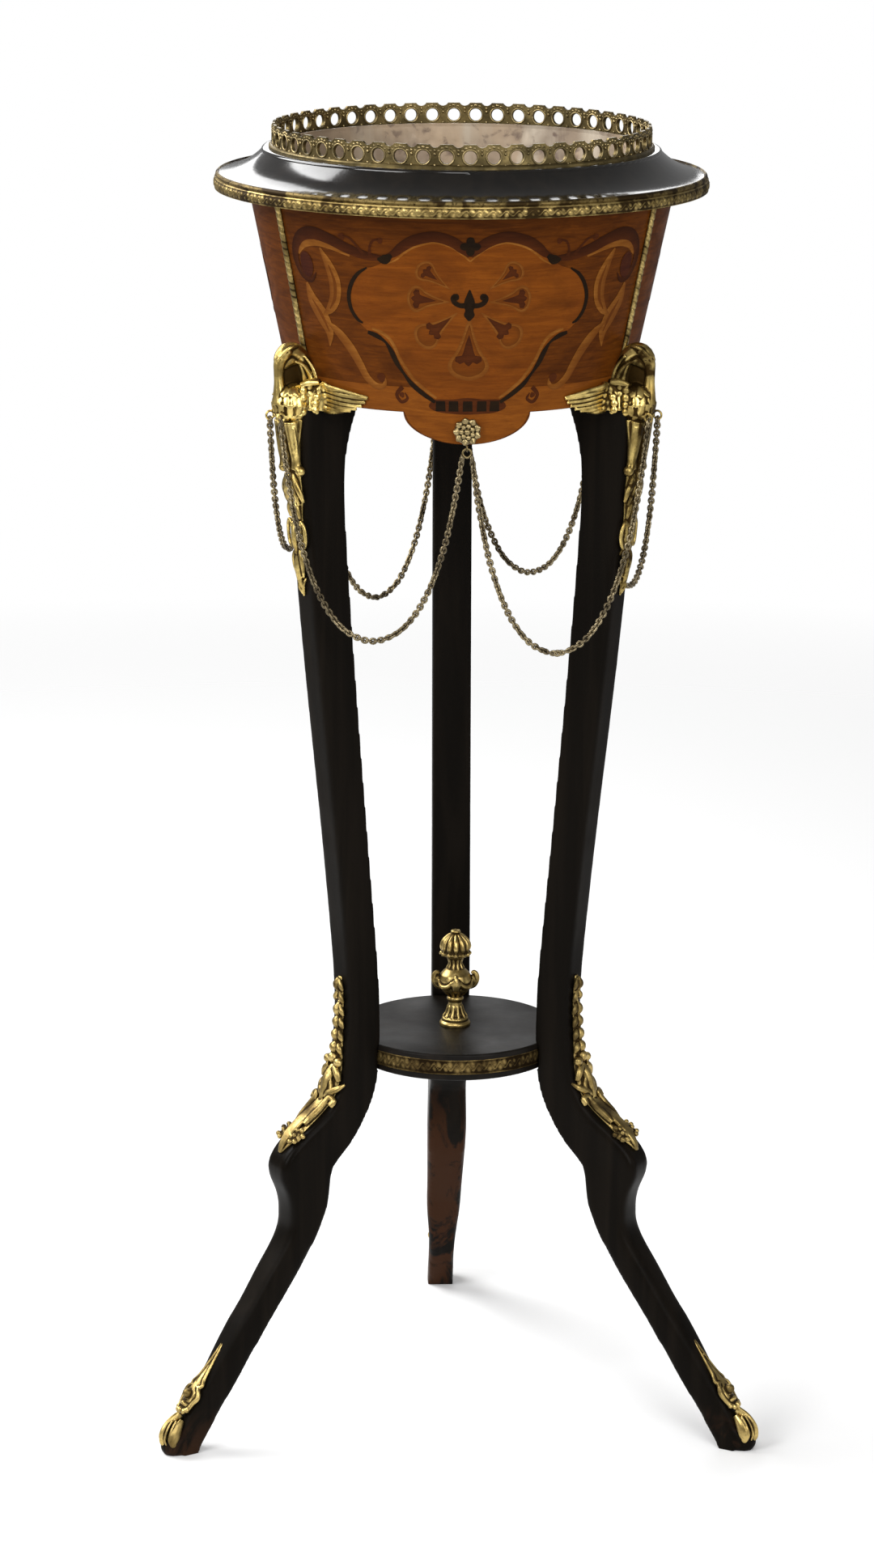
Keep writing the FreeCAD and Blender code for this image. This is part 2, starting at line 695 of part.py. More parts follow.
def make_tier_band():
    """The brass band round the disc, a shallow bulge, bored for the screws."""
    edge = "(undertier_radius + tier_band_edge)"
    body = turned("undertier_band", (
        ("undertier_radius", TIER_BAND_FOOT),
        (edge, TIER_BAND_FOOT),
        (edge, TIER_BAND_TOP),
        ("undertier_radius", TIER_BAND_TOP)),
        {1: (bulge("tier_band_height", "tier_band_thickness - tier_band_edge"), 1)})
    drilled(body, "screw_hole", "YZ_Plane", [("0", TIER_SCREW_HEIGHT, "leg_screw_radius")],
            TIER_SCREW_END, "tier_screw_bite + tier_band_thickness + overrun", str(len(LEGS)))
    place(body, LEGS["back"])


# The turning of the urn: a radius, its share, and the share of the height.

URN_SHARES = (
    ("finial_foot_radius", 1, 0), ("finial_foot_radius", 1, 0.05),
    ("finial_stem_radius", 1.25, 0.14), ("finial_stem_radius", 1, 0.3),
    ("finial_body_radius", 0.8, 0.38), ("finial_body_radius", 1, 0.48),
    ("finial_body_radius", 0.9, 0.56), ("finial_neck_radius", 1, 0.64),
    ("finial_neck_radius", 1, 0.7), ("finial_dome_radius", 1, 0.74),
    ("finial_dome_radius", 1, 0.79), ("finial_dome_radius", 0.55, 0.91), ("finial_dome_radius", 0, 0.94))
URN_BENDS = {1: ("finial_height * 0.12", -1), 3: ("finial_height * 0.2", 1),
             4: ("finial_height * 0.2", 1), 10: ("finial_dome_radius", 1)}
MASK_SHARE = 0.48


def make_finial():
    """The urn: foot, stem, body, neck, dome and knob, with masks round the body."""
    base = "undertier_height"
    corners = []
    for radius, share, rise in URN_SHARES:
        out = "%s * %s" % (radius, share) if share else "0"
        corners.append((out, "%s + finial_height * %s" % (base, rise)))
    corners.append(("0", "%s + stud_depth" % base))
    corners.append(("stud_radius", "%s + stud_depth" % base))
    corners.append(("stud_radius", base))
    body = turned("finial_turning", tuple(corners), URN_BENDS)
    shapes = [body]
    count = int(size("finial_masks"))
    for number in range(count):
        mask = doc.addObject("Part::Sphere", "finial_mask")
        bind(mask, Radius="finial_mask_radius")
        out = Rotation(UP, FULL_TURN * number / count).multVec(OUT)
        middle = size("undertier_height + finial_height * %s" % MASK_SHARE)
        mask.Placement = Placement(out * size("finial_mask_reach") + UP * middle, Rotation())
        shapes.append(mask)
    knob = doc.addObject("Part::Sphere", "finial_knob")
    bind(knob, Radius="finial_knob_radius")
    knob.setExpression("Placement.Base.z", bound(base + " + finial_height - finial_knob_radius"))
    shapes.append(knob)
    finial = doc.addObject("Part::MultiFuse", "urn_finial")
    finial.Shapes = shapes
    place(finial)


def make_stud():
    """The stud, washer and nut that hold the urn on the disc."""
    stud = doc.addObject("Part::Cylinder", "finial_stud")
    bind(stud, Radius="stud_radius",
         Height="undertier_thickness + stud_depth + nut_height + washer_thickness + overrun")
    stud.Placement.Base.z = size("%s - washer_thickness - nut_height - overrun" % TIER_FOOT)
    place(stud)
    washer = doc.addObject("Part::Cut", "finial_washer")
    washer.Base = bind(doc.addObject("Part::Cylinder", "washer_disc"),
                       Radius="washer_radius", Height="washer_thickness")
    washer.Tool = bind(doc.addObject("Part::Cylinder", "washer_hole"),
                       Radius="stud_radius", Height="washer_thickness")
    washer.Placement.Base.z = size("%s - washer_thickness" % TIER_FOOT)
    place(washer)
    nut = doc.addObject("Part::Cut", "finial_nut")
    nut.Base = bind(doc.addObject("Part::Prism", "nut_hexagon"),
                    Circumradius="nut_radius", Height="nut_height")
    nut.Tool = bind(doc.addObject("Part::Cylinder", "nut_hole"),
                    Radius="stud_radius", Height="nut_height")
    nut.Placement.Base.z = size("%s - washer_thickness - nut_height" % TIER_FOOT)
    place(nut)


# Legs. Each table of shares runs between two named places of the outline,
# down in height first and out in radius second.

CREST_SHARES = ((0.21, 0.36), (0.53, 0.83))
THIGH_SHARES = ((0.11, 0.07), (0.3, 0.25), (0.5, 0.47), (0.7, 0.71), (0.88, 0.905))
KNEE_SHARES = ((0.14, 0.0), (0.37, 0.05), (0.54, 0.125), (0.68, 0.3), (0.77, 0.54), (0.86, 0.79),
               (0.94, 0.945))
ANKLE_SHARES = ((0.12, 0.03), (0.28, 0.22), (0.5, 0.65), (0.75, 0.93))
CALF_SHARES = ((0.07, 0.035), (0.21, 0.18), (0.36, 0.335), (0.5, 0.5), (0.72, 0.755), (0.89, 0.93))
EAR_SHARES = ((0.15, 0.17), (0.28, 0.42), (0.46, 0.69), (0.68, 0.9))
INNER_THIGH_SHARES = ((0.06, 0.03), (0.2, 0.155), (0.41, 0.38), (0.61, 0.61), (0.81, 0.85), (0.92, 0.965))
CROOK_SHARES = ((0.15, 0.005), (0.35, 0.055), (0.54, 0.19), (0.66, 0.34), (0.78, 0.53), (0.89, 0.755))
FOOT_SHARES = ((0, 0), (0.16, 0.05), (0.22, 0.34), (0.33, 0.5), (0.43, 0.72), (0.66, 0.92), (1, 1))
SHIN_SHARES = ((0.07, 0.005), (0.13, 0.01), (0.2, 0.05), (0.29, 0.13), (0.41, 0.265), (0.57, 0.47),
               (0.79, 0.745))


def spot(name):
    """A named place of the leg's outline: its height and its radius."""
    return size(name + "_height"), size(name + "_radius")


def leg_front():
    """The outer outline of a leg from the tip outside the bowl to the toe."""
    tip = (size("crest_height"), size(wall_radius("crest_height") + " + crest_edge"))
    stops = [tip, spot("shoulder"), spot("waist"), spot("knee"), spot("ankle"), spot("toe")]
    tables = (CREST_SHARES, THIGH_SHARES, KNEE_SHARES, ANKLE_SHARES, CALF_SHARES)
    line = [tip]
    for start, end, shares in zip(stops, stops[1:], tables):
        line += between(start, end, shares) + [end]
    return line


def leg_front_radius(height):
    """The outer face of the leg at a height."""
    line = leg_front()
    for (high, far), (low, near) in zip(line, line[1:]):
        if low <= height <= high:
            return near + (far - near) * (height - low) / (high - low)
    return line[-1][1]


def leg_back():
    """The inner outline from under the bowl to the notch, and on to the heel."""
    ear = (size("bowl_base_height"), size("ear_radius"))
    armpit, hollow, notch = spot("armpit"), spot("hollow"), spot("notch")
    upper = [ear] + between(ear, armpit, EAR_SHARES) + [armpit]
    upper += between(armpit, hollow, INNER_THIGH_SHARES) + [hollow]
    upper += between(hollow, notch, CROOK_SHARES) + [notch]
    heel = (0.0, size("heel_radius"))
    return upper, [notch] + between(notch, heel, SHIN_SHARES) + [heel]


def bowl_solid():
    """The outer cone of the bowl, without its aprons."""
    return Part.makeCone(size("bowl_base_radius"), size("bowl_top_radius"), size("bowl_depth"),
                         Vector(0, 0, size("bowl_base_height")), UP)


def leg_blank():
    """A leg sawn from the side, tapered from the front, with its edges rounded."""
    front = points_at(leg_front())
    upper, lower = (points_at(line) for line in leg_back())
    tip, toe, ear, heel = front[0], front[-1], upper[0], lower[-1]
    inside = size("bowl_base_radius - panel_thickness")
    over = [Vector(inside, 0, tip.z), Vector(inside, 0, ear.z)]
    sole = Vector(toe.x - toe.z / 2, 0, 0)
    ends = [tip] + over + [ear]
    edges = [smooth(front), smooth(upper), smooth(lower)]
    edges += [Part.LineSegment(a, b).toShape() for a, b in zip(ends, ends[1:])]
    edges += [Part.LineSegment(heel, sole).toShape(), Part.LineSegment(sole, toe).toShape()]
    side = slab(Part.__sortEdges__(edges), ACROSS, 2 * size("leg_width"))
    reach = size("sabot_toe_radius")
    sawn = side.common(leg_seen_from_outside(tip.z + size("overrun")).extrude(OUT * reach))
    return rounded(sawn, smooth(front))


def leg_seen_from_outside(top):
    """The leg's outline from outside: straight above the knee, narrower to the foot."""
    half, foot, taper = size("leg_width") / 2, size("leg_foot_width") / 2, size("leg_taper_height")
    curves = []
    for side in (-1, 1):
        points = [Vector(0, side * (foot + (half - foot) * width), taper * rise)
                  for rise, width in FOOT_SHARES]
        curve = Part.BSplineCurve()
        curve.interpolate(Points=points, InitialTangent=UP, FinalTangent=UP)
        curves.append(curve.toShape())
    corners = [Vector(0, y, z) for y, z in (
        (-half, taper), (-half, top), (half, top), (half, taper), (foot, 0), (-foot, 0))]
    straight = polygon(corners)
    edges = curves + straight[:3] + [straight[4]]
    return Part.Face(Part.Wire(Part.__sortEdges__(edges)))


def rounded(sawn, line):
    """Rounds the two long outer edges of a leg."""
    face = line.copy()
    face.translate(ACROSS * (-size("leg_width")))
    face = face.extrude(ACROSS * 2 * size("leg_width"))
    long_edges = []
    for edge in sawn.Edges:
        halfway = edge.valueAt((edge.FirstParameter + edge.LastParameter) / 2)
        along = edge.Length > 2 * size("leg_width")
        if along and face.distToShape(Part.Vertex(halfway))[0] < size("pin_radius") / 2:
            long_edges.append(edge)
    return sawn.makeFillet(size("leg_round"), long_edges)


def pin_rods(heights):
    """Rods through a mount into the leg at these heights, longer than the pins."""
    reach = size("mount_thickness + mount_pin_depth + sabot_knob_reach + sabot_knob_radius")
    return [rod(Vector(leg_front_radius(z) - size("mount_pin_depth"), 0, z), OUT, size("pin_radius"), reach)
            for z in heights]


def tier_screw():
    """A screw from the outer face of the leg into the disc, with its head."""
    height = size(TIER_SCREW_HEIGHT)
    start = size(TIER_SCREW_END)
    seat = tier_screw_seat()
    shank = rod(Vector(start, 0, height), OUT, size("leg_screw_radius"), seat - start)
    head = rod(Vector(seat, 0, height), OUT, size("screw_head_radius"), size("screw_head_height"))
    return shank.fuse(head).removeSplitter()


def tier_screw_seat():
    """Where the head of that screw sits, under the outer face of the leg."""
    return leg_front_radius(size(TIER_SCREW_HEIGHT)) - size("tier_screw_sink + screw_head_height")


def leg_screws():
    """The two screws down through the bowl's floor into a leg."""
    top = size("bowl_base_height + floor_thickness")
    screws = []
    for side in (-1, 1):
        foot = Vector(size("leg_screw_reach"), side * size("leg_screw_spacing") / 2,
                      top - size("leg_screw_length"))
        shank = rod(foot, UP, size("leg_screw_radius"), size("leg_screw_length"))
        head = rod(Vector(foot.x, foot.y, top), UP, size("screw_head_radius"), size("screw_head_height"))
        screws.append(shank.fuse(head).removeSplitter())
    return screws


def make_legs():
    """Three legs, housed for the disc and bored for their screws and pins."""
    blank = leg_blank()
    housing = Part.makeCylinder(size("undertier_radius + tier_band_thickness"),
                                size("undertier_thickness"), Vector(0, 0, size(TIER_FOOT)), UP)
    head = rod(Vector(tier_screw_seat(), 0, size(TIER_SCREW_HEIGHT)), OUT,
               size("screw_head_radius"), size("leg_width"))
    tools = [bowl_solid(), housing, tier_screw(), head] + leg_screws()
    leg = blank.cut(tools + pin_rods(PIN_HEIGHTS))
    for name, azimuth in LEGS.items():
        finished("leg_" + name, leg, azimuth)
    return blank.cut([bowl_solid()])


def make_screws():
    """The screws that hold the legs, as two groups."""
    def all_round(shapes):
        return Part.Compound([s.rotated(Vector(0, 0, 0), UP, a) for a in LEGS.values() for s in shapes])
    finished("leg_screws", all_round(leg_screws()))
    finished("undertier_screws", all_round([tier_screw()]))


# Cast mounts. The shares of a front outline run down its height first and
# give its half width second.

DROP_SHARES = ((0.0, 1.0), (0.12, 1.0), (0.27, 0.8), (0.32, 1.0), (0.38, 0.6), (0.5, 0.75), (0.57, 0.95),
               (0.65, 0.6), (0.73, 0.85), (0.82, 0.8), (0.91, 0.5), (1.0, 0.06))
DROP_DEPTH_SHARES = ((0.0, 1.3), (0.27, 1.2), (0.33, 1.6), (0.4, 0.9), (0.57, 1.1), (0.73, 0.9), (0.9, 0.7),
                     (1.0, 0.3))
LEAF_SHARES = ((0.0, 0.1), (0.05, 0.42), (0.13, 0.3), (0.2, 0.45), (0.27, 0.32), (0.34, 0.48), (0.44, 0.62),
               (0.55, 0.7), (0.65, 0.85), (0.78, 1.0), (0.88, 0.8), (0.95, 0.45), (1.0, 0.1))
LEAF_DEPTH_SHARES = ((0.0, 0.5), (0.05, 1.1), (0.13, 0.8), (0.3, 1.0), (0.5, 1.2), (0.75, 1.2), (0.9, 0.8),
                     (1.0, 0.25))
SABOT_SHARES = ((0.0, 0.04), (0.2, 0.28), (0.36, 0.55), (0.45, 0.8), (0.54, 1.0), (0.8, 1.04), (1.0, 1.0))
SABOT_DEPTH_SHARES = ((0.0, 0.3), (0.35, 0.7), (0.5, 1.0))
TOE_SHARES = ((0.25, 0.42), (0.5, 0.72), (0.75, 0.93))
WING_SHARES = ((0.0, 0.0), (0.3, 0.14), (0.6, 0.4), (0.82, 0.72))
WING_EDGE_SHARES = {"root": 0.45, "under": 0.8, "over": 0.6}


def shifted(line, depths):
    """An outline moved out square to itself, by a depth for each point."""
    moved = []
    for number, ((z, r), depth) in enumerate(zip(line, depths)):
        before = line[max(number - 1, 0)]
        after = line[min(number + 1, len(line) - 1)]
        run = math.hypot(after[0] - before[0], after[1] - before[1])
        moved.append((z + depth * (after[1] - before[1]) / run, r + depth * (before[0] - after[0]) / run))
    return moved


def reading(shares, share):
    """The value of a table of shares at a share of the way."""
    for (a, low), (b, high) in zip(shares, shares[1:]):
        if a <= share <= b:
            return low + (high - low) * (share - a) / (b - a)
    return shares[-1][1]


def front_outline(top, foot, half_width, shares):
    """A shape as seen from outside the leg, reaching through the leg and beyond."""
    right = [(top + (foot - top) * rise, half_width * width) for rise, width in shares]
    points = [Vector(0, y, z) for z, y in right] + [Vector(0, -y, z) for z, y in reversed(right)]
    return Part.Face(Part.Wire(polygon(points))).extrude(OUT * size("sabot_toe_radius + overrun"))


def plate(top, foot, width, shares, depth_shares, blank):
    """A casting that lies on the outer face of the leg, thick and wide by shares."""
    steps = sorted({rise for rise, value in shares} | {rise for rise, value in depth_shares})
    heights = [top + (foot - top) * rise for rise in steps]
    line = [(z, leg_front_radius(z)) for z in heights]
    depths = [reading(depth_shares, rise) * size("mount_thickness") for rise in steps]
    outer = points_at(shifted(line, depths))
    inner = points_at(shifted(line, [-size("leg_round")] * len(line)))
    side = slab(polygon(outer + inner[::-1]), ACROSS, 2 * width)
    return side.common(front_outline(top, foot, width / 2, shares)).cut(blank)


def wing(side, blank):
    """A spread wing from the breast back to the wall of the bowl."""
    root = size("shoulder_radius")
    tip = size("sqrt(bowl_base_radius ^ 2 - wing_span ^ 2)")
    span, thick = size("wing_span"), size("wing_thickness")
    outer = [Vector(root + thick / 2 + (tip - root) * reach, span * out, 0) for out, reach in WING_SHARES]
    outer.append(Vector(tip + thick / 2, span, 0))
    inner = [point - Vector(thick, 0, 0) for point in outer]
    foot, top = size("wing_root_foot"), size("wing_root_top")
    plan = Part.Face(Part.Wire(polygon(outer + inner[::-1]))).extrude(UP * (top - foot))
    plan.translate(UP * foot)
    edge = [Vector(0, y, z) for y, z in (
        (0, foot), (span * WING_EDGE_SHARES["root"], foot),
        (span * WING_EDGE_SHARES["under"], size("wing_tip_height") - thick),
        (span, size("wing_tip_height")),
        (span * WING_EDGE_SHARES["over"], size("wing_tip_height") + thick / 2), (0, top))]
    feathered = plan.common(Part.Face(Part.Wire(polygon(edge))).extrude(OUT * size("bowl_top_radius")))
    if side < 0:
        feathered = feathered.mirror(Vector(0, 0, 0), ACROSS)
    return feathered.cut([blank, bowl_solid()])


def make_birds(blank):
    """The cast bird at the top of each leg, with its drop and two chain eyes."""
    breast = ball(Vector(size("shoulder_radius + mount_thickness / 2"), 0, size("breast_height")),
                  Vector(size("breast_depth"), size("breast_half_width"), size("breast_half_height")))
    head_at = Vector(size("shoulder_radius + neck_span / 2"), 0, size("head_height"))
    head = ball(head_at, Vector(size("head_length"), size("head_radius"), size("head_radius")))
    hoop = Part.makeTorus(1, size("neck_radius / neck_span"), Vector(0, 0, 0), ACROSS)
    matrix = Matrix()
    matrix.scale(Vector(size("neck_span"), size("neck_span"), size("neck_rise")))
    hoop = hoop.transformGeometry(matrix)
    hoop.translate(Vector(head_at.x, 0, head_at.z - size("neck_rise")))
    eyes = []
    for side in (-1, 1):
        middle = Vector(size("eye_reach"), side * size("eye_spacing") / 2, size("eye_height"))
        eyes.append(Part.makeTorus(size("eye_radius"), size("eye_wire"), middle, ACROSS))
    drop = plate(size("breast_height"), size("drop_foot_height"), size("drop_width"),
                 DROP_SHARES, DROP_DEPTH_SHARES, blank)
    parts = [head, hoop, drop, wing(1, blank), wing(-1, blank)] + eyes
    bird = breast.fuse(parts).cut([blank, bowl_solid()])
    bird = Part.Compound(solids_over(bird, size("pin_radius")))
    return bird


def solids_over(shape, least):
    """The solids of a shape that are larger than a cube of this size."""
    return [solid for solid in shape.Solids if solid.Volume > least ** 3]


def knee_leaf(blank):
    """The husk and leaf down the outer face of the knee."""
    return plate(size("knee_mount_top"), size("knee_mount_foot"), size("knee_mount_width"),
                 LEAF_SHARES, LEAF_DEPTH_SHARES, blank)


def sabot(blank):
    """The foot mount: a leaf up the leg, a knob, and a cap round the toe."""
    top, cap = size("sabot_top"), size("sabot_cap_height")
    steps = [rise for rise, value in SABOT_DEPTH_SHARES]
    line = [(top + (0 - top) * rise, leg_front_radius(top * (1 - rise))) for rise in steps]
    leaf = shifted(line, [value * size("mount_thickness") for rise, value in SABOT_DEPTH_SHARES])
    toe = (size("sabot_toe_height"), size("sabot_toe_radius"))
    outer = leaf + between(leaf[-1], toe, TOE_SHARES) + [toe]
    outer.append((0.0, toe[1] - toe[0]))
    back = size("toe_radius - sabot_back")
    inner = [(0.0, back), (cap, leg_front_radius(cap) - size("leg_round"))]
    inner.append((top, leg_front_radius(top) - size("leg_round")))
    half = size("leg_foot_width") / 2 + size("sabot_side")
    side = slab(polygon(points_at(outer + inner)), ACROSS, 4 * half)
    cap_solid = side.common(front_outline(top, 0.0, half, SABOT_SHARES)).cut(blank)
    height = size("sabot_knob_height")
    knob = ball(Vector(leg_front_radius(height) + size("sabot_knob_reach"), 0, height),
                Vector(*[size("sabot_knob_radius")] * 3))
    neck = rod(Vector(leg_front_radius(height) - size("leg_round"), 0, height), OUT,
               size("sabot_knob_radius") / 2, size("leg_round + sabot_knob_reach"))
    cast = cap_solid.fuse([knob, neck]).cut(blank)
    return Part.Compound(solids_over(cast, size("pin_radius")))


PIN_SHARES = {"bird": (0.35, 0.85), "leaf": (0.12, 0.9), "sabot": (0.16,)}


def pin_heights():
    """Where the mounts are pinned: below each bird, over the knee and at the foot."""
    runs = {"bird": ("breast_height", "drop_foot_height"), "leaf": ("knee_mount_top", "knee_mount_foot"),
            "sabot": ("sabot_top", "0")}
    heights = []
    for name, (top, foot) in runs.items():
        heights += [size(top) + (size(foot) - size(top)) * share for share in PIN_SHARES[name]]
    return heights


PIN_HEIGHTS = pin_heights()


def make_mounts(blank):
    """The three castings of each leg, and the pins that hold them."""
    rods = pin_rods(PIN_HEIGHTS)
    casts = {"bird_mount_": make_birds(blank), "knee_mount_": knee_leaf(blank), "foot_mount_": sabot(blank)}
    for label, cast in casts.items():
        for name, azimuth in LEGS.items():
            finished(label + name, cast.cut(rods), azimuth)
    held = blank.fuse(list(casts.values()))
    pins = [held.common(one) for one in rods]
    finished("mount_pins", Part.Compound([
        pin.rotated(Vector(0, 0, 0), UP, azimuth) for azimuth in LEGS.values() for pin in pins]))


# Rosettes, their rings and the chains

HEART_SHARE = 0.8


def lug_place():
    """The middle of the eye under a rosette, with +X out through the rosette."""
    reach = size(wall_radius("rosette_height") + " + 2 * lug_wire")
    return Vector(reach, 0, size("rosette_height - rosette_radius - lug_radius"))


def make_rosette(side, azimuth):
    """A rosette with petals, its shank through the apron, its nut and its eye."""
    axis = Vector(0, 0, size("rosette_height"))
    reach = size(wall_radius("rosette_height"))
    depth, radius = size("rosette_depth"), size("rosette_radius")
    dome = ball(Vector(reach, 0, axis.z), Vector(depth, radius, radius))
    count = int(size("rosette_petals"))
    gaps = []
    for number in range(count):
        angle = FULL_TURN * (number + 0.5) / count
        gap = rod(Vector(reach, 0, axis.z + radius), OUT, size("petal_gap_radius"), depth + size("overrun"))
        gaps.append(gap.rotated(axis, OUT, angle))
    heart = ball(Vector(reach + depth * HEART_SHARE, 0, axis.z), Vector(depth / 2, radius / 3, radius / 3))
    eye = Part.makeTorus(size("lug_radius"), size("lug_wire"), lug_place(), ACROSS)
    shank_start = reach - size("panel_thickness + shank_nut_height + overrun / 2")
    shank = rod(Vector(shank_start, 0, axis.z), OUT, size("shank_radius"), reach - shank_start + depth / 2)
    wall = Part.makeCone(size(wall_radius(APRON_FOOT)), size("bowl_top_radius"),
                         size("bowl_depth + apron_drop"), Vector(0, 0, size(APRON_FOOT)), UP)
    face = dome.fuse([heart, eye]).cut(gaps + [wall])
    face = Part.Compound(solids_over(face, size("lug_wire")))
    finished("rosette_" + side, face.fuse(shank), azimuth)


def make_shank_nuts():
    """The nuts behind the aprons, one on the shank of each rosette."""
    height = size("rosette_height")
    back = size(wall_radius("(rosette_height + shank_nut_radius)") + " - panel_thickness")
    start = Vector(back - size("shank_nut_height + apron_drop / 2"), 0, height)
    nut = rod(start, OUT, size("shank_nut_radius"), size("shank_nut_height + apron_drop / 2"))
    trim = Part.makeCylinder(back - size("shank_nut_height") - size("overrun / 2"), size("apron_drop"),
                             Vector(0, 0, height - size("apron_drop / 2")), UP)
    inside = Part.makeCone(size(wall_radius(APRON_FOOT) + " - panel_thickness"),
                           size("bowl_top_radius - panel_thickness"),
                           size("bowl_depth + apron_drop"), Vector(0, 0, size(APRON_FOOT)), UP)
    bore = rod(Vector(0, 0, height), OUT, size("shank_radius"), size("bowl_base_radius"))
    nut = nut.common(inside).cut([trim, bore])
    finished("rosette_nuts", Part.Compound([
        nut.rotated(Vector(0, 0, 0), UP, azimuth) for azimuth in SIDES.values()]))


def make_ring(side, azimuth):
    """The ring that hangs in the eye of a rosette and carries two chains."""
    ring = doc.addObject("Part::Torus", "rosette_ring_" + side)
    bind(ring, Radius1="ring_radius", Radius2="ring_wire")
    ring.Placement = Placement(ring_middle(), Rotation(UP, OUT))
    place(ring, azimuth)


def ring_middle():
    """The middle of that ring."""
    return lug_place() - UP * size("lug_radius - lug_wire - ring_wire + ring_radius")


# The route of a chain: how far along from the bird to the rosette, and how far down.
# Each chain hangs as deep as its own share of that.

CHAIN_ROUTE = ((0, 0), (8, -71), (26, -143), (48, -184), (70, -198), (88, -198), (110, -184), (131, -148),
               (149, -85))
CHAINS = {
    "chain_front_left": ("front_left", 1, 0.92), "chain_front_right": ("front_right", -1, 0.975),
    "chain_side_left": ("front_left", -1, 0.63), "chain_side_right": ("front_right", 1, 0.8),
    "chain_back_left": ("back", 1, 1.0), "chain_back_right": ("back", -1, 0.885)}
BEND_SHARE = 0.45


def chain_ends(side):
    """Both ends of a chain, from the eye of a bird to the ring of a rosette."""
    start = Vector(size("eye_reach"), side * size("eye_spacing") / 2,
                   size("eye_height - eye_radius - eye_wire - chain_gap"))
    ring = ring_middle()
    end = Vector(ring.x, -side * size("chain_spacing") / 2,
                 ring.z - size("ring_radius + ring_wire + chain_gap"))
    return start, Rotation(UP, side * LEG_STEP / 2).multVec(end)


def chain_points(side, depth_share):
    """The points of a chain's route in the upright plane through its ends."""
    start, end = chain_ends(side)
    along = Vector(end.x - start.x, end.y - start.y, 0).normalize()
    return [start + along * run + UP * rise * depth_share for run, rise in CHAIN_ROUTE] + [end]


def rounded_path(points):
    """Straight runs joined by arcs as large as the runs allow, and its bends."""
    edges = []
    bends = []
    here = points[0]
    for before, corner, after in zip(points, points[1:], points[2:]):
        into = (corner - before).normalize()
        away = (after - corner).normalize()
        shorter = min((corner - before).Length, (after - corner).Length)
        half_turn = into.getAngle(away) / 2
        bends.append(BEND_SHARE * shorter / math.tan(half_turn))
        leave = corner - into * BEND_SHARE * shorter
        join = corner + away * BEND_SHARE * shorter
        edges.append(Part.LineSegment(here, leave).toShape())
        towards = (away - into).normalize()
        middle = corner + towards * bends[-1] * (1 / math.cos(half_turn) - 1)
        edges.append(Part.Arc(leave, middle, join).toShape())
        here = join
    edges.append(Part.LineSegment(here, points[-1]).toShape())
    return Part.Wire(edges), bends


def make_chain(label, side, depth_share, azimuth):
    """The space that a chain fills, as one tube."""
    points = chain_points(side, depth_share)
    path, bends = rounded_path(points)
    square = (points[1] - points[0]).normalize()
    ring = Part.Wire(Part.Circle(points[0], square, size("chain_radius")).toShape())
    tube = path.makePipeShell([ring], True, True)
    wanted = path.Length * math.pi * size("chain_radius") ** 2
    print(label, "length %.1f" % path.Length, "tightest bend %.1f" % min(bends),
          "volume share %.4f" % (tube.Volume / wanted))
    finished(label, tube, azimuth)


def build():
    """Makes every piece of the stand."""
    for side, azimuth in SIDES.items():
        make_panel(side, azimuth)
    for name, azimuth in LEGS.items():
        make_bead(name, azimuth)
    make_floor()
    make_rim()
    make_band()
    make_gallery()
    make_gallery_pins()
    make_liner()
    for name, azimuth in LIFT_RINGS.items():
        make_lift_ring(name, azimuth)
    make_clips(LIFT_RINGS.values())
    make_undertier()
    make_tier_band()
    make_finial()
    make_stud()
    blank = make_legs()
    make_screws()
    make_mounts(blank)
    for side, azimuth in SIDES.items():
        make_rosette(side, azimuth)
        make_ring(side, azimuth)
    make_shank_nuts()
    for label, (leg, side, depth_share) in CHAINS.items():
        make_chain(label, side, depth_share, LEGS[leg])


def write():
    """Checks every object and writes each piece to its own file."""
    doc.recompute()
    for thing in doc.Objects:
        for fault in ("Invalid", "Error"):
            assert fault not in thing.State, thing.Label + " is " + fault
    for piece in PIECES:
        assert not piece.Shape.isNull(), piece.Label + " has no shape"
        assert piece.Shape.isValid(), piece.Label + " isn't valid"
        assert piece.Shape.Solids, piece.Label + " has no solid"
    os.makedirs("parts", exist_ok=True)
    for piece in PIECES:
        piece.Shape.exportStep("parts/%s.step" % piece.Label)
        box = piece.Shape.BoundBox
        print("%-26s solids %d  volume %9.0f  z %7.1f to %7.1f" % (
            piece.Label, len(piece.Shape.Solids), piece.Shape.Volume, box.ZMin, box.ZMax))
    print(len(PIECES), "pieces")


build()
write()
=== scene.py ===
# %% [markdown]
# # A jardiniere stand
# The stand is a bowl for a plant on three curved legs, with a small shelf low
# down, gilt castings and six hanging chains. The pieces that carry it come
# ready made, at their real size, so this lesson gives them their finish and
# adds what a carver, a caster and a marquetry cutter would add.

# %% Load the stand
import math
import random

import bmesh
import bpy
import numpy
from mathutils import Matrix, Vector
from mathutils.bvhtree import BVHTree


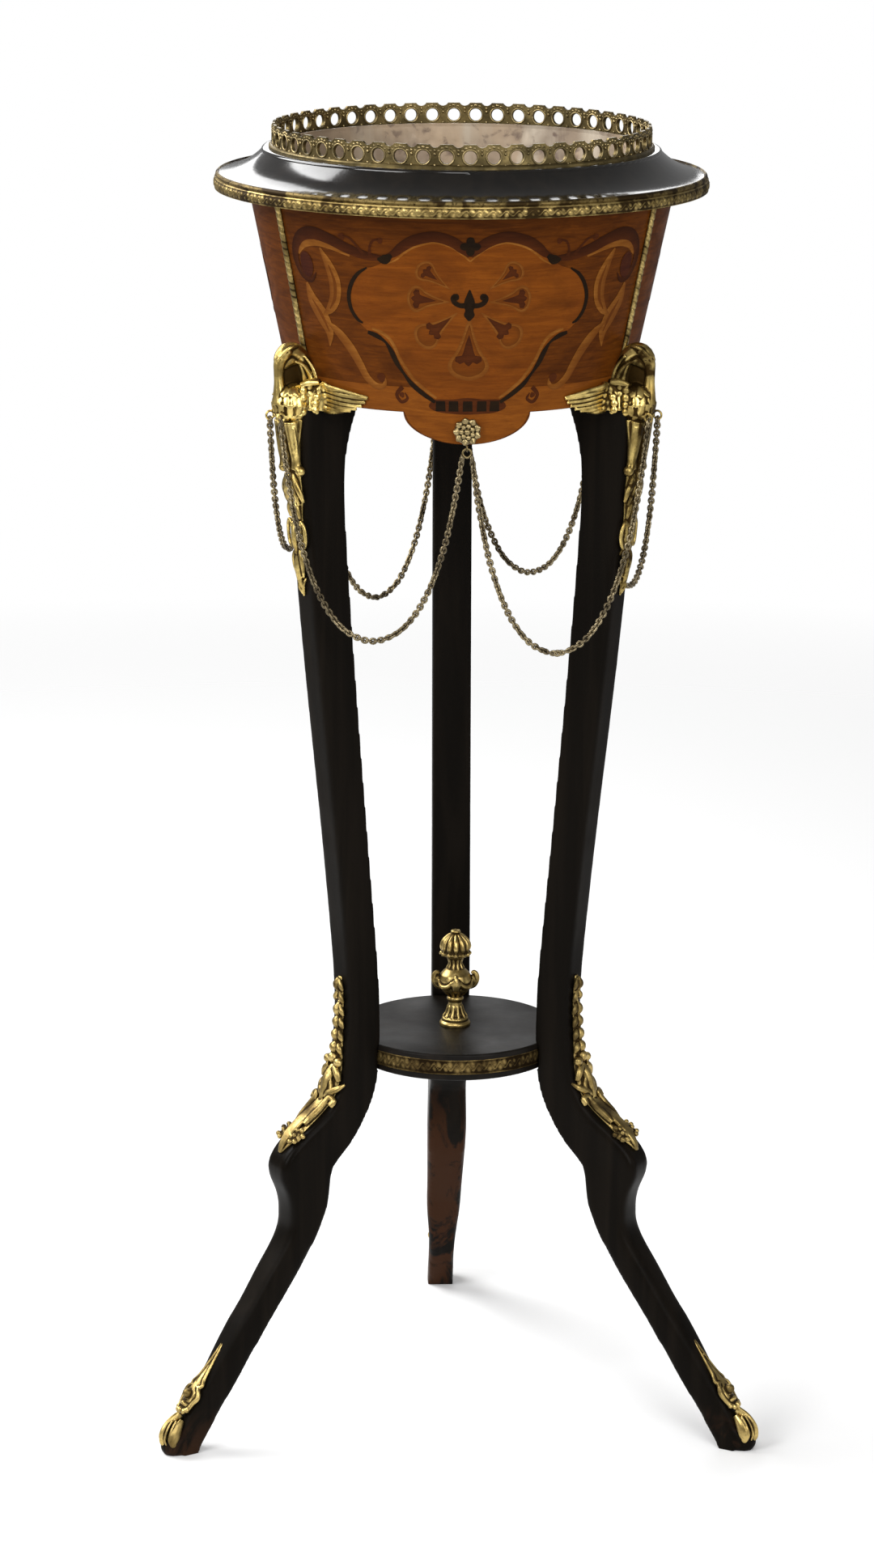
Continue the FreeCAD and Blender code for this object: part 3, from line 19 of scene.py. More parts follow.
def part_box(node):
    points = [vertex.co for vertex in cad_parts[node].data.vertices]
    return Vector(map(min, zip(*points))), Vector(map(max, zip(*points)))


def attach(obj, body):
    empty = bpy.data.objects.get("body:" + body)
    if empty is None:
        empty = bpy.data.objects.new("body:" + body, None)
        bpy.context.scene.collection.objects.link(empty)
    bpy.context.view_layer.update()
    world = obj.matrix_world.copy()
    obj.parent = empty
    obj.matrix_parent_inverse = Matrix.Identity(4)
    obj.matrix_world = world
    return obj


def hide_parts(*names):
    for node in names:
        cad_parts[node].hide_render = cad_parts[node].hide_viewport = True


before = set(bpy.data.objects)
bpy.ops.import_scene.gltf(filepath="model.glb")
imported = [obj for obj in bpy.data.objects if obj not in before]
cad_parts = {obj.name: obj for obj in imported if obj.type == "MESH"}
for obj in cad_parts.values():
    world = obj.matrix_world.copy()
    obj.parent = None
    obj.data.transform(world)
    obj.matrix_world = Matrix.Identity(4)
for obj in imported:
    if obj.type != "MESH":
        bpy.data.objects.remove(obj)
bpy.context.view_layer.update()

print("pieces of the frame:", len(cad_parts))

# %% [markdown]
# ## Where things are
# The stand is built about an upright axis. Almost every place on it is easiest
# to say as a distance from that axis, an azimuth and a height, so two small
# helpers turn those into points. The undertier is a disc on the axis, which
# makes its box the simplest way to find the axis.

# %% The axis and the azimuths
MM = 0.001
low, high = (Vector(corner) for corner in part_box("undertier"))
AXIS = Vector(((low.x + high.x) / 2, (low.y + high.y) / 2, 0))
LEGS = {"front_left": -150, "front_right": -30, "back": 90}
SIDES = {"front": -90, "rear_right": 30, "rear_left": 150}
STAND = "stand"
chance = random.Random(5)


def turned_to(azimuth):
    """Takes a point with +X out from the axis to an azimuth of the stand."""
    return Matrix.Translation(AXIS) @ Matrix.Rotation(math.radians(azimuth), 4, "Z")


def around(radius, azimuth, height):
    """A point from its distance to the axis, its azimuth and its height."""
    return turned_to(azimuth) @ Vector((radius, 0, height))


def wheel(count, shift=0.0):
    """The angles of a number of equal steps round a turn."""
    return [math.tau * (step + shift) / count for step in range(count)]


def turned(angle, radius, height):
    """A point at an angle about an upright axis."""
    return radius * math.cos(angle), radius * math.sin(angle), height


print("axis at", tuple(round(value, 4) for value in AXIS))

# %% [markdown]
# ## The camera
# The photograph was taken from 4 m away and a little above the rim, so the
# verticals hardly meet and the bowl shows its far inside wall. A long lens at
# that distance gives the same flat look. The camera also leans by a third of
# a degree, as a hand-held one does.

# %% Set up the camera
CAMERA_DISTANCE = 4.0168
CAMERA_HEIGHT = 1.5995
CAMERA_AZIMUTH = -92.553
CAMERA_TURN = 0.249
CAMERA_PITCH = 14.376
CAMERA_LEAN = 0.38
PHOTO_LENS = 107.87
PHOTO_SENSOR = 36.0
CAMERA_FAR = 100.0

camera = bpy.data.objects.new("camera", bpy.data.cameras.new("camera"))
bpy.context.scene.collection.objects.link(camera)
camera.data.sensor_fit = "VERTICAL"
camera.data.sensor_height = PHOTO_SENSOR
camera.data.lens = PHOTO_LENS
camera.data.clip_end = CAMERA_FAR
heading = Matrix.Rotation(math.radians(CAMERA_AZIMUTH + 90 + CAMERA_TURN), 4, "Z")
tilt = Matrix.Rotation(math.radians(90 - CAMERA_PITCH), 4, "X")
lean = Matrix.Rotation(math.radians(CAMERA_LEAN), 4, "Z")
stance = Matrix.Translation(around(CAMERA_DISTANCE, CAMERA_AZIMUTH, CAMERA_HEIGHT))
camera.matrix_world = stance @ heading @ tilt @ lean
bpy.context.scene.camera = camera
print("camera at", tuple(round(value, 3) for value in camera.matrix_world.translation))

# %% [markdown]
# ## Finishes
# Every finish is built from a few nodes: a noise that breaks up the colour, a
# second one that varies how shiny it is, and a fine bump. One helper makes a
# node and fills in its sockets by name, which keeps each recipe short.


# %% Helpers for finishes
def feed(socket, value):
    """Links another node's output to a socket, or sets the socket's own value."""
    if isinstance(value, bpy.types.NodeSocket):
        socket.id_data.links.new(value, socket)
    else:
        socket.default_value = value


def add(material, kind, **values):
    """Makes a shader node and sets its options, links or values by name."""
    node = material.node_tree.nodes.new("ShaderNode" + kind)
    for name, value in values.items():
        if hasattr(node, name):
            setattr(node, name, value)
    for name, value in values.items():
        label = name.replace("_", " ")
        for socket in node.inputs:
            if socket.name == label and socket.enabled:
                feed(socket, value)
                break
    return node


def plug(material, **values):
    """Links or sets sockets of the main shader by name."""
    shader = material.node_tree.nodes["Principled BSDF"]
    for name, value in values.items():
        feed(shader.inputs[name.replace("_", " ")], value)


def finish(name, colour, roughness, metallic=0.0):
    """A new material with its main values on the shader's own sockets."""
    material = bpy.data.materials.new(name)
    material.use_nodes = True
    plug(material, Base_Color=(*colour, 1), Roughness=roughness, Metallic=metallic)
    return material


# %% Values and noises in a finish
def worked_out(material, operation, first, second, **options):
    """Works something out from two values or outputs."""
    node = add(material, "Math", operation=operation, **options)
    feed(node.inputs[0], first)
    feed(node.inputs[1], second)
    return node.outputs[0]


def mixed(material, share, first, second):
    """Mixes two colours or colour outputs by a share."""
    node = add(material, "Mix", data_type="RGBA", clamp_factor=True)
    feed(node.inputs[0], share)
    for index, value in ((6, first), (7, second)):
        feed(node.inputs[index], value if isinstance(value, bpy.types.NodeSocket) else (*value, 1))
    return node.outputs[2]


def spread(material, socket, low, high, start=0.0, end=1.0):
    """Maps a value from one range to another and keeps it inside."""
    return add(material, "MapRange", Value=socket, From_Min=low, From_Max=high,
               To_Min=start, To_Max=end).outputs["Result"]


def own_place(material):
    """The coordinates of the piece itself."""
    return add(material, "TexCoord").outputs["Object"]


def noise(material, scale, stretch=(1, 1, 1), detail=4.0, distortion=0.0, where=None, rough=0.5):
    """A noise over the piece's own coordinates, stretched along an axis."""
    placed = add(material, "Mapping", Vector=where or own_place(material), Scale=stretch)
    grain = add(material, "TexNoise", Vector=placed.outputs["Vector"], Scale=scale, Detail=detail,
                Roughness=rough, Distortion=distortion)
    return grain.outputs["Fac"]


def bumped(material, height, distance, strength=1.0, under=None):
    """Adds a bump of a given depth, over an earlier one if there is one."""
    node = add(material, "Bump", Height=height, Distance=distance, Strength=strength)
    if under:
        feed(node.inputs["Normal"], under)
    plug(material, Normal=node.outputs["Normal"])
    return node.outputs["Normal"]


look = {}

# %% [markdown]
# ### Ebonised wood
# The legs, the rim and the shelf are a pale wood stained black and polished.
# The polish is glossy where hands don't reach and rubbed where they do, and
# brown shows through at the worn places. A long stretched noise is the grain,
# a broad one is the rubbed polish.

# %% Black polish
BLACK_BASE = (0.008, 0.006, 0.004)
DEEP_BLACK, THIN_BLACK = (0.0038, 0.0029, 0.0020), (0.0085, 0.0062, 0.0042)
WEAR_STARTS, WEAR_ENDS = 0.05, 0.06
POLISH_COAT = 0.12
# Between two heights above the stand, so that nothing is worn.
NO_WEAR = (1.6, 1.7)
# Roughness, heights of the wear, colour of the wear, shine and coat of polish.
POLISHES = {
    "rim_black": (0.11, NO_WEAR, (0.05, 0.03, 0.02), 0.3, 0.5),
    "shelf_black": (0.42, NO_WEAR, (0.05, 0.03, 0.02), 0.09, 0.03),
    "leg_black": (0.40, (-0.06, 0.04), (0.040, 0.018, 0.009), 0.035, 0.0),
    "worn_black": (0.42, (-0.06, 0.255), (0.034, 0.0125, 0.0045), 0.04, 0.0)}


def black_polish(name, gloss, wear, wear_colour, shine, coat):
    """Stained and polished wood, with wear between two heights."""
    material = finish(name, BLACK_BASE, gloss)
    grain = noise(material, 60, (1, 1, 0.06), 6, 0.4)
    cloud = noise(material, 9, (1, 1, 0.7), 5, 0.2)
    black = mixed(material, spread(material, grain, 0.42, 0.75), DEEP_BLACK, THIN_BLACK)
    height = add(material, "SeparateXYZ", Vector=own_place(material)).outputs["Z"]
    up = spread(material, height, wear[0], wear[0] + WEAR_STARTS)
    down = spread(material, height, wear[1] - WEAR_ENDS, wear[1], 1.0, 0.0)
    patches = spread(material, noise(material, 22, (1, 1, 0.35), 9, 1.2, rough=0.66), 0.47, 0.53)
    zone = worked_out(material, "MULTIPLY", up, down)
    rubbed = worked_out(material, "MULTIPLY", zone, patches)
    plug(material, Base_Color=mixed(material, rubbed, black, wear_colour),
         Roughness=spread(material, cloud, 0.3, 0.7, gloss * 0.7, gloss * 1.5),
         Specular_IOR_Level=shine, Coat_Weight=coat, Coat_Roughness=POLISH_COAT)
    first = bumped(material, grain, 0.00025, 0.5)
    bumped(material, noise(material, 240, (1, 1, 0.12), 3, 0.6), 0.00012, 0.4, first)
    return material


look.update({name: black_polish(name, *recipe) for name, recipe in POLISHES.items()})
print("black finishes:", ", ".join(POLISHES))

# %% [markdown]
# ### Gilt bronze
# The castings are bronze with thin gilding. The raised places are rubbed
# bright, and the hollows hold a dark brown patina. Each casting made below
# stores how hollow it is at every point, under the name hollow, and the
# finish reads that. Where a piece has no such value, noise does the work.
# Boxes add to the same value: patina on the knees, and on the birds painted shade in the neck's
# opening and painted light and shade that differ from bird to bird.

# %% Metals
PLAIN_BROWN = 0.55
# Bright and dull metal, patina, roughness, and how brown the broad patches are.
METALS = {
    "gilt": ((0.93, 0.71, 0.25), (0.46, 0.32, 0.095), (0.042, 0.024, 0.007), 0.28, 0.7),
    "old_gilt": ((0.62, 0.46, 0.17), (0.26, 0.18, 0.060), (0.034, 0.021, 0.008), 0.32, 0.7),
    "old_brass": ((0.40, 0.31, 0.15), (0.19, 0.145, 0.065), (0.028, 0.022, 0.011), 0.36),
    "dull_brass": ((0.20, 0.150, 0.062), (0.095, 0.072, 0.031), (0.022, 0.017, 0.009), 0.42),
    "worn_brass": ((0.30, 0.21, 0.075), (0.10, 0.066, 0.024), (0.018, 0.011, 0.005), 0.40),
    "chain_brass": ((0.33, 0.27, 0.16), (0.14, 0.11, 0.065), (0.028, 0.022, 0.015), 0.36),
    "dark_iron": ((0.16, 0.13, 0.11), (0.10, 0.07, 0.05), (0.05, 0.03, 0.02), 0.55),
    "bright_steel": ((0.42, 0.41, 0.39), (0.27, 0.26, 0.25), (0.08, 0.07, 0.06), 0.35)}


def cast_metal(name, bright, dull, patina, roughness, brown=PLAIN_BROWN):
    """A cast or stamped metal, bright on its ridges and dark in its hollows."""
    material = finish(name, bright, roughness, 1.0)
    hollow = add(material, "Attribute", attribute_name="hollow").outputs["Fac"]
    cloud = noise(material, 70, detail=6, distortion=0.3)
    specks = noise(material, 420, detail=4, distortion=0.2)
    broad = noise(material, 34, detail=5, distortion=0.8)
    worn = mixed(material, spread(material, cloud, 0.38, 0.66), bright, dull)
    spots = worked_out(material, "MAXIMUM", spread(material, specks, 0.52, 0.78, 0.0, 0.5),
                       spread(material, broad, 0.48, 0.62, 0.0, brown))
    dirt = worked_out(material, "ADD", hollow, spots, use_clamp=True)
    plug(material, Base_Color=mixed(material, dirt, worn, patina),
         Roughness=spread(material, dirt, 0.0, 1.0, roughness, roughness + 0.3))
    first = bumped(material, cloud, 0.0006, 0.35)
    bumped(material, specks, 0.00018, 0.5, first)
    return material


look.update({name: cast_metal(name, *recipe) for name, recipe in METALS.items()})
print("metals:", ", ".join(METALS))

# %% [markdown]
# ### Zinc
# The liner is old zinc sheet, mottled grey, beige and a little pink, with pale
# lime where water stood. It is dull, so most of its look is in the mottling.


# %% Zinc
def old_zinc():
    """Dull sheet with water stains."""
    material = finish("old_zinc", (0.42, 0.37, 0.33), 0.6, 0.35)
    broad = noise(material, 14, detail=8, distortion=0.8)
    fine = noise(material, 90, detail=6, distortion=0.4)
    runs = noise(material, 30, (1, 1, 0.12), 5, 0.3)
    base = mixed(material, spread(material, broad, 0.35, 0.65), (0.20, 0.15, 0.105),
                 (0.40, 0.30, 0.20))
    stained = mixed(material, spread(material, runs, 0.5, 0.72), base, (0.42, 0.36, 0.28))
    spotted = mixed(material, spread(material, fine, 0.56, 0.7), stained, (0.15, 0.105, 0.08))
    plug(material, Base_Color=spotted, Roughness=spread(material, fine, 0.3, 0.7, 0.45, 0.75))
    bumped(material, broad, 0.0008, 0.4)
    return material


look["old_zinc"] = old_zinc()
print("liner finish:", look["old_zinc"].name)

# %% [markdown]
# ### Veneers
# The bowl is laid with sheets of veneer. The ground is an orange brown wood
# whose grain runs round the bowl, with broad darker figure in it. The same
# recipe with other colours serves for each wood of the inlay: grain lines that
# follow the sheet, soft clouds, and a satin varnish over it all.

# %% Veneer
WALL_MEAN = 0.164
GRAIN = (26, 240, 1)
VARNISH, VARNISH_ROUGHNESS, WOOD_SHINE = 0.02, 0.22, 0.03
# Light, dark and figure colours, then the colour of burnt edges, the grain and the varnish.
VENEERS = {
    "ground_wood": ((0.115, 0.031, 0.0030), (0.056, 0.0145, 0.0018), (0.036, 0.0090, 0.0014)),
    "heart_wood": ((0.172, 0.047, 0.0045), (0.112, 0.028, 0.0030), (0.070, 0.018, 0.0024),
                   (0.085, 0.024, 0.003), (14, 200, 1)),
    "border_wood": ((0.200, 0.060, 0.0065), (0.130, 0.036, 0.0040), (0.095, 0.026, 0.0035)),
    "pale_wood": ((0.255, 0.098, 0.017), (0.152, 0.049, 0.0055), (0.112, 0.034, 0.0040),
                  (0.10, 0.028, 0.004)),
    "brown_wood": ((0.070, 0.018, 0.0040), (0.042, 0.0105, 0.0026), (0.034, 0.0080, 0.0025),
                   (0.022, 0.006, 0.002)),
    "purple_wood": ((0.058, 0.015, 0.0055), (0.034, 0.008, 0.0040), (0.026, 0.006, 0.0034)),
    "ebony": ((0.013, 0.007, 0.003), (0.008, 0.0045, 0.0025), (0.016, 0.008, 0.003)),
    "pine": ((0.42, 0.26, 0.13), (0.30, 0.17, 0.08), (0.25, 0.14, 0.07), None, (30, 30, 1), 0.0)}


def around_axis(material):
    """Coordinates of a turned piece: round its girth, along its height."""
    centred = add(material, "VectorMath", operation="SUBTRACT")
    feed(centred.inputs[0], own_place(material))
    feed(centred.inputs[1], AXIS)
    parts = add(material, "SeparateXYZ", Vector=centred.outputs["Vector"])
    angle = worked_out(material, "ARCTAN2", parts.outputs["Y"], parts.outputs["X"])
    girth = worked_out(material, "MULTIPLY", angle, WALL_MEAN)
    return add(material, "CombineXYZ", X=girth, Y=parts.outputs["Z"]).outputs["Vector"]


def veneer(name, light, dark, figure, burnt=None, grain=GRAIN, varnish=VARNISH):
    """A veneer with its grain round the bowl and a satin varnish."""
    material = finish(name, light, 0.34)
    sheet = around_axis(material)
    lines = noise(material, 1.0, grain, 7, 1.1, sheet, 0.62)
    cloud = noise(material, 1.0, (15, 30, 1), 5, 1.6, sheet, 0.6)
    pores = noise(material, 1.0, (180, 1500, 1), 3, 0.3, sheet)
    base = mixed(material, spread(material, lines, 0.33, 0.68), dark, light)
    figured = mixed(material, spread(material, cloud, 0.42, 0.72, 0.0, 0.75), base, figure)
    wood = mixed(material, spread(material, pores, 0.60, 0.74, 0.0, 0.45), figured,
                 tuple(value * 0.4 for value in dark))
    if burnt:
        burn = add(material, "Attribute", attribute_name="burn").outputs["Fac"]
        wood = mixed(material, burn, wood, burnt)
    plug(material, Base_Color=wood, Roughness=spread(material, cloud, 0.3, 0.7, 0.30, 0.46),
         Specular_IOR_Level=WOOD_SHINE, Coat_Weight=varnish, Coat_Roughness=VARNISH_ROUGHNESS)
    bumped(material, lines, 0.00015, 0.3)
    return material


look.update({name: veneer(name, *recipe) for name, recipe in VENEERS.items()})
print("woods:", ", ".join(VENEERS))

# %% [markdown]
# ## The frame's own pieces
# The pieces that come ready made only need their finish. A table says which
# pieces each finish goes on, and the rest of the lesson replaces the ones
# that deserve more detail.


# %% Finish the ready-made pieces
def each(start, names):
    """The names of a piece that is there more than once."""
    return [start + name for name in names]


FINISHES = {
    "pine": ["bowl_floor"], "rim_black": ["rim_moulding"], "shelf_black": ["undertier"],
    "leg_black": ["leg_front_left", "leg_front_right"], "worn_black": ["leg_back"],
    "ground_wood": each("marquetry_panel_", SIDES),
    "gilt": ["rim_band", "undertier_band", "urn_finial"] + each("corner_bead_", LEGS)
    + each("bird_mount_", LEGS) + each("knee_mount_", LEGS),
    "old_gilt": ["mount_pins"] + each("foot_mount_", LEGS),
    "old_brass": ["gallery_pins", "rosette_nuts"] + each("rosette_", SIDES)
    + each("rosette_ring_", SIDES),
    "dull_brass": ["gallery"], "old_zinc": ["liner", "liner_clips"],
    "dark_iron": ["lift_ring_left", "lift_ring_right"],
    "bright_steel": ["finial_stud", "finial_washer", "finial_nut", "leg_screws",
                     "undertier_screws"]}
for name, nodes in FINISHES.items():
    for node in nodes:
        solid = bpy.data.objects[node]
        solid.data.materials.clear()
        solid.data.materials.append(look[name])
print("finished", sum(len(nodes) for nodes in FINISHES.values()), "ready-made pieces")

# %% [markdown]
# ## Marquetry
# Each side of the bowl is a picture in wood. A cutter saws every shape out of
# a stack of veneers and fits them together, and shades some edges by dipping
# them in hot sand. One shader could hold all of it, but real cut shapes give
# crisp edges and a grain of their own, so each shape here is a very thin sheet
# that follows the cone of the bowl, a tenth of a millimetre above the ground.
# Places on a panel are given in millimetres: across from its middle, and up.

# %% Places on a panel
WALL_FOOT = 926.0
WALL_FOOT_RADIUS = 146.3
WALL_SLOPE = (182.2 - 146.3) / 172.0
INLAY_LIFT = 0.10
LAYER_LIFT = 0.05
DRAWING_RADIUS = 164.0


def wall_radius(height):
    """The outside of the bowl at a height, in millimetres."""
    return WALL_FOOT_RADIUS + (height - WALL_FOOT) * WALL_SLOPE


def on_panel(azimuth, across, height, lift):
    """A point on a panel from the drawing's millimetres."""
    turn = azimuth + math.degrees(across / DRAWING_RADIUS)
    return around((wall_radius(height) + lift) * MM, turn, height * MM)


def curve_through(points, closed=False, pieces=8):
    """A smooth line through drawn points."""
    count = len(points)
    line = []
    for number in range(count if closed else count - 1):
        if closed:
            a, b, c, d = (points[(number + step) % count] for step in (-1, 0, 1, 2))
        else:
            b, c = points[number], points[number + 1]
            a = points[number - 1] if number else tuple(2 * p - q for p, q in zip(b, c))
            d = points[number + 2] if number + 2 < count else tuple(2 * q - p for p, q in zip(b, c))
        for step in range(pieces):
            t = step / pieces
            line.append(tuple(
                0.5 * (2 * q + (r - p) * t + (2 * p - 5 * q + 4 * r - s) * t * t
                       + (3 * q - p - 3 * r + s) * t ** 3) for p, q, r, s in zip(a, b, c, d)))
    if not closed:
        line.append(points[-1])
    return line


print("the bowl is %.1f mm out at its foot" % wall_radius(WALL_FOOT))


# %% Putting pieces on the stand
def set_down(name, mesh, node=None, place=None, body=STAND):
    """Makes a piece from a mesh, and lets it ride on a body in a node's stead."""
    piece = bpy.data.objects.new(name, mesh)
    bpy.context.scene.collection.objects.link(piece)
    if place:
        piece.matrix_world = place
    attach(piece, body)
    if node:
        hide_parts(node)
    return piece


def new_piece(name, points, faces, material, node=None, body=STAND):
    """Makes a smooth piece from points and faces."""
    mesh = bpy.data.meshes.new(name)
    mesh.from_pydata([tuple(point) for point in points], [], faces)
    mesh.materials.append(look[material])
    mesh.polygons.foreach_set("use_smooth", [True] * len(mesh.polygons))
    return set_down(name, mesh, node, body=body)


def marked(mesh, name, values):
    """Stores a value for each point under a name that a finish reads."""
    mark = mesh.attributes.get(name) or mesh.attributes.new(name, "FLOAT", "POINT")
    mark.data.foreach_set("value", values)


# %% Cutting shapes
BAND_SHARES = (0.0, 0.25, 0.5, 0.75, 1.0)
LOBE_STEPS = 12


class Sheet:
    """Shapes of one wood, cut for one panel, that become one mesh."""

    def __init__(self, azimuth, layer):
        self.azimuth = azimuth
        self.lift = INLAY_LIFT + LAYER_LIFT * layer
        self.points = []
        self.faces = []
        self.burns = []

    def grid(self, rows, burns):
        """Adds a strip of faces through rows of drawn places."""
        first = len(self.points)
        width = len(rows[0])
        for row, shades in zip(rows, burns):
            self.points += [on_panel(self.azimuth, across, up, self.lift) for across, up in row]
            self.burns += shades
        for r in range(len(rows) - 1):
            for c in range(width - 1):
                a = first + r * width + c
                self.faces.append((a, a + 1, a + 1 + width, a + width))

    def stroke(self, drawn, widths, burn=(0.0, 0.0), mirror=True):
        """A band along a smooth line, as wide at each drawn point as told."""
        for side in ((1, -1) if mirror else (1,)):
            line = curve_through([(x * side, y, w) for (x, y), w in zip(drawn, widths)])
            rows = []
            shades = []
            for number, (x, y, w) in enumerate(line):
                before = line[max(number - 1, 0)]
                after = line[min(number + 1, len(line) - 1)]
                run = math.hypot(after[0] - before[0], after[1] - before[1]) or 1.0
                nx, ny = (before[1] - after[1]) / run * side, (after[0] - before[0]) / run * side
                rows.append([(x + nx * w * (s - 0.5), y + ny * w * (s - 0.5)) for s in BAND_SHARES])
                shades.append([burn[0] + (burn[1] - burn[0]) * s for s in BAND_SHARES])
            self.grid(rows, shades)

    def field(self, centre, outline, burn=(0.0, 0.0), mirror=False, rings=7):
        """A closed shape filled from its middle out to a drawn outline."""
        for side in ((1, -1) if mirror else (1,)):
            rows = []
            shades = []
            for ring in range(rings + 1):
                share = ring / rings
                rows.append([(side * (centre[0] + (x - centre[0]) * share),
                              centre[1] + (y - centre[1]) * share)
                             for x, y in outline + outline[:1]])
                shades.append([burn[0] + (burn[1] - burn[0]) * share ** 3] * (len(outline) + 1))
            self.grid(rows, shades)

    def lobed(self, centre, size, lobes, depth, turn=0.0, mirror=False, burn=(0.0, 0.0)):
        """A flower shape with round lobes."""
        outline = []
        for angle in wheel(lobes * LOBE_STEPS):
            reach = size * (1 - depth + depth * abs(math.cos(angle * lobes / 2)))
            outline.append((centre[0] + reach * math.cos(angle + turn),
                            centre[1] + reach * math.sin(angle + turn)))
        self.field(centre, outline, burn, mirror, 3)

    def cut(self, name, material):
        """Turns the shapes into one thin piece of the bowl."""
        piece = new_piece(name, self.points, self.faces, material)
        marked(piece.data, "burn", self.burns)
        outward(piece)


def outward(piece):
    """Turns every face of a piece on the bowl so that it looks out."""
    build = bmesh.new()
    build.from_mesh(piece.data)
    for face in build.faces:
        middle = face.calc_center_median() - AXIS
        if face.normal.dot(Vector((middle.x, middle.y, 0))) < 0:
            face.normal_flip()
    build.to_mesh(piece.data)
    build.free()


# %% [markdown]
# ### The drawing
# The middle of each panel is a heart-shaped field with two arches at its top
# and a boss at its foot. Black arcs and stepped lines frame it, and seven pale
# leaves, each with a dark trefoil, spread out from a black lily. On the front
# a long scroll runs out to each side and ends in a volute round an oval eye.
# Only one half is drawn, and the other half is its mirror.

# %% The heart and its frame
HEART = ((0, 1061), (6, 1066), (15, 1072), (28, 1075), (43, 1071), (54, 1065), (64, 1058),
         (76, 1051), (90, 1046), (98, 1036), (103, 1026), (103, 1014), (98, 1003), (88, 994),
         (76, 987), (68, 976), (61, 964), (52, 951), (42, 943), (28, 936), (12, 932), (0, 931))
ARCH = ((0, 1061), (6, 1066.5), (15, 1073), (28, 1076.5), (43, 1073), (53, 1067), (60, 1061),
        (68, 1057))
SWOOSH = ((66, 1058), (82, 1059), (100, 1064), (118, 1071), (134, 1074), (148, 1070), (157, 1060),
          (159, 1048), (153, 1036), (143, 1033), (136, 1040))
SIDE_ARC = ((84, 1049), (93, 1043), (100, 1034), (104, 1023), (103, 1012), (98, 1004), (93, 1001))
LOWER_LINE = ((89, 993.5), (81, 991), (73, 986), (68, 978), (64, 969), (58, 960), (51, 951),
              (41, 943), (30, 936))
INNER_SCROLL = ((128, 1062), (121, 1048), (117, 1034), (119, 1020), (126, 1010), (135, 1004))
LOW_SCROLL = ((134, 1000), (120, 990), (109, 978), (101, 965), (95, 954), (86, 947), (78, 948),
              (77, 954), (82, 956))
OUTER_LEAF = ((150, 1030), (146, 1016), (137, 1003), (131, 990), (133, 977))
SPRIGS = (((86, 1060), (91, 1067), (97, 1073), (103, 1075)),
          ((80, 1059), (80, 1066), (77, 1072), (72, 1074)))
BERRIES = (((104, 1074), 3.2, 0.25), ((71, 1073), 2.8, 0.25), ((80, 955), 4.2, 0.15))
OVAL, OVAL_HALF = (146, 1046), (7.5, 11)
TILE = ((-4.6, -4.4), (4.6, -4.4), (4.2, 4.6), (-4.2, 4.6))
TILES_ACROSS, TILES_HEIGHT = (0, 13, 25), 932.5
CURL = ((60, 948), (66, 941), (62, 935), (56, 938), (58, 943))
BOSS = ((0, 940), (14, 938.5), (30, 938), (36, 932), (28, 927.5), (14, 926), (0, 925.5))


def whole(half):
    """A closed outline from its right half, drawn from the top to the foot."""
    return list(half) + [(-x, y) for x, y in half[-2:0:-1]]


def moved(points, wider, up):
    """Drawn points, drawn apart and moved up."""
    return [(x * wider, y + up) for x, y in points]


print("the heart goes through", len(whole(HEART)), "drawn points")

# %% The lily and its leaves
LILY = (0.0, 1021.0)
LILY_BODY = ((0, 1033.5), (2.4, 1028.5), (4.3, 1023), (4.1, 1018), (3.4, 1015.5), (4.4, 1011.5),
             (2, 1008), (0, 1006.5))
LILY_CURL = ((2, 1020), (7, 1019.8), (11.6, 1022), (13.2, 1026), (11, 1028.6))
LEAF_SHARES = ((0, 0.03), (0.16, 0.16), (0.34, 0.33), (0.55, 0.62), (0.69, 0.93), (0.82, 1.0),
               (0.94, 0.68), (1, 0.02))
TREFOIL_SHARES = ((0, 0.02), (0.28, 0.22), (0.56, 0.40), (0.66, 0.5), (0.70, 0.98), (0.84, 1.02),
                  (0.93, 0.66), (0.87, 0.32), (0.94, 0.2), (1, 0.02))
# Way on the drawing, then from, to and half width of the leaf and of its trefoil.
LEAVES = ((-90, 10, 66, 18.0, 26, 53.5, 11.4), (-38, 12, 56, 11.4, 19.5, 43, 8.0),
          (5, 16, 51.5, 11.4, 26.8, 48, 8.0), (38, 20, 52.5, 9.0, 33, 47, 6.0))
LEAF_INNER = 0.80


def leaves(sheet_pale, sheet_brown, sheet_line):
    """The seven pale leaves round the lily, each with its trefoil."""
    for turn, near, far, wide, foot, tip, spread_out in LEAVES:
        angle = math.radians(turn)
        out = Vector((math.cos(angle), math.sin(angle)))
        beside = Vector((-out.y, out.x))

        def shape(shares, start, end, half, grow=1.0):
            middle = (start + end) / 2 + (end - start) * 0.2
            halves = []
            for sign in (1, -1):
                part = []
                for along, across in shares:
                    reach = middle + (start + (end - start) * along - middle) * grow
                    place = Vector(LILY) + out * reach + beside * (across * half * sign * grow)
                    part.append(tuple(place))
                halves.append(part)
            return halves[0] + halves[1][-2:0:-1], tuple(Vector(LILY) + out * middle)

        mirror = turn != -90
        leaf, middle = shape(LEAF_SHARES, near, far, wide)
        sheet_pale.field(middle, curve_through(leaf, True, 4), (0.0, 0.75), mirror)
        inner = shape(LEAF_SHARES, near, far, wide, LEAF_INNER)[0]
        sheet_line.field(middle, curve_through(inner, True, 4), (0.0, 0.9), mirror)
        trefoil, middle = shape(TREFOIL_SHARES, foot, tip, spread_out)
        sheet_brown.field(middle, trefoil, (0.0, 0.4), mirror, 5)


print("leaves on a panel:", 2 * len(LEAVES) - 1)

# %% The border at the foot
BORDER_TOP = 948.0
BORDER_EDGE = 59.0
BORDER_STEPS, BORDER_ROWS = 96, 6
APRON_HALF = 53.0
APRON_DROP = 27.0


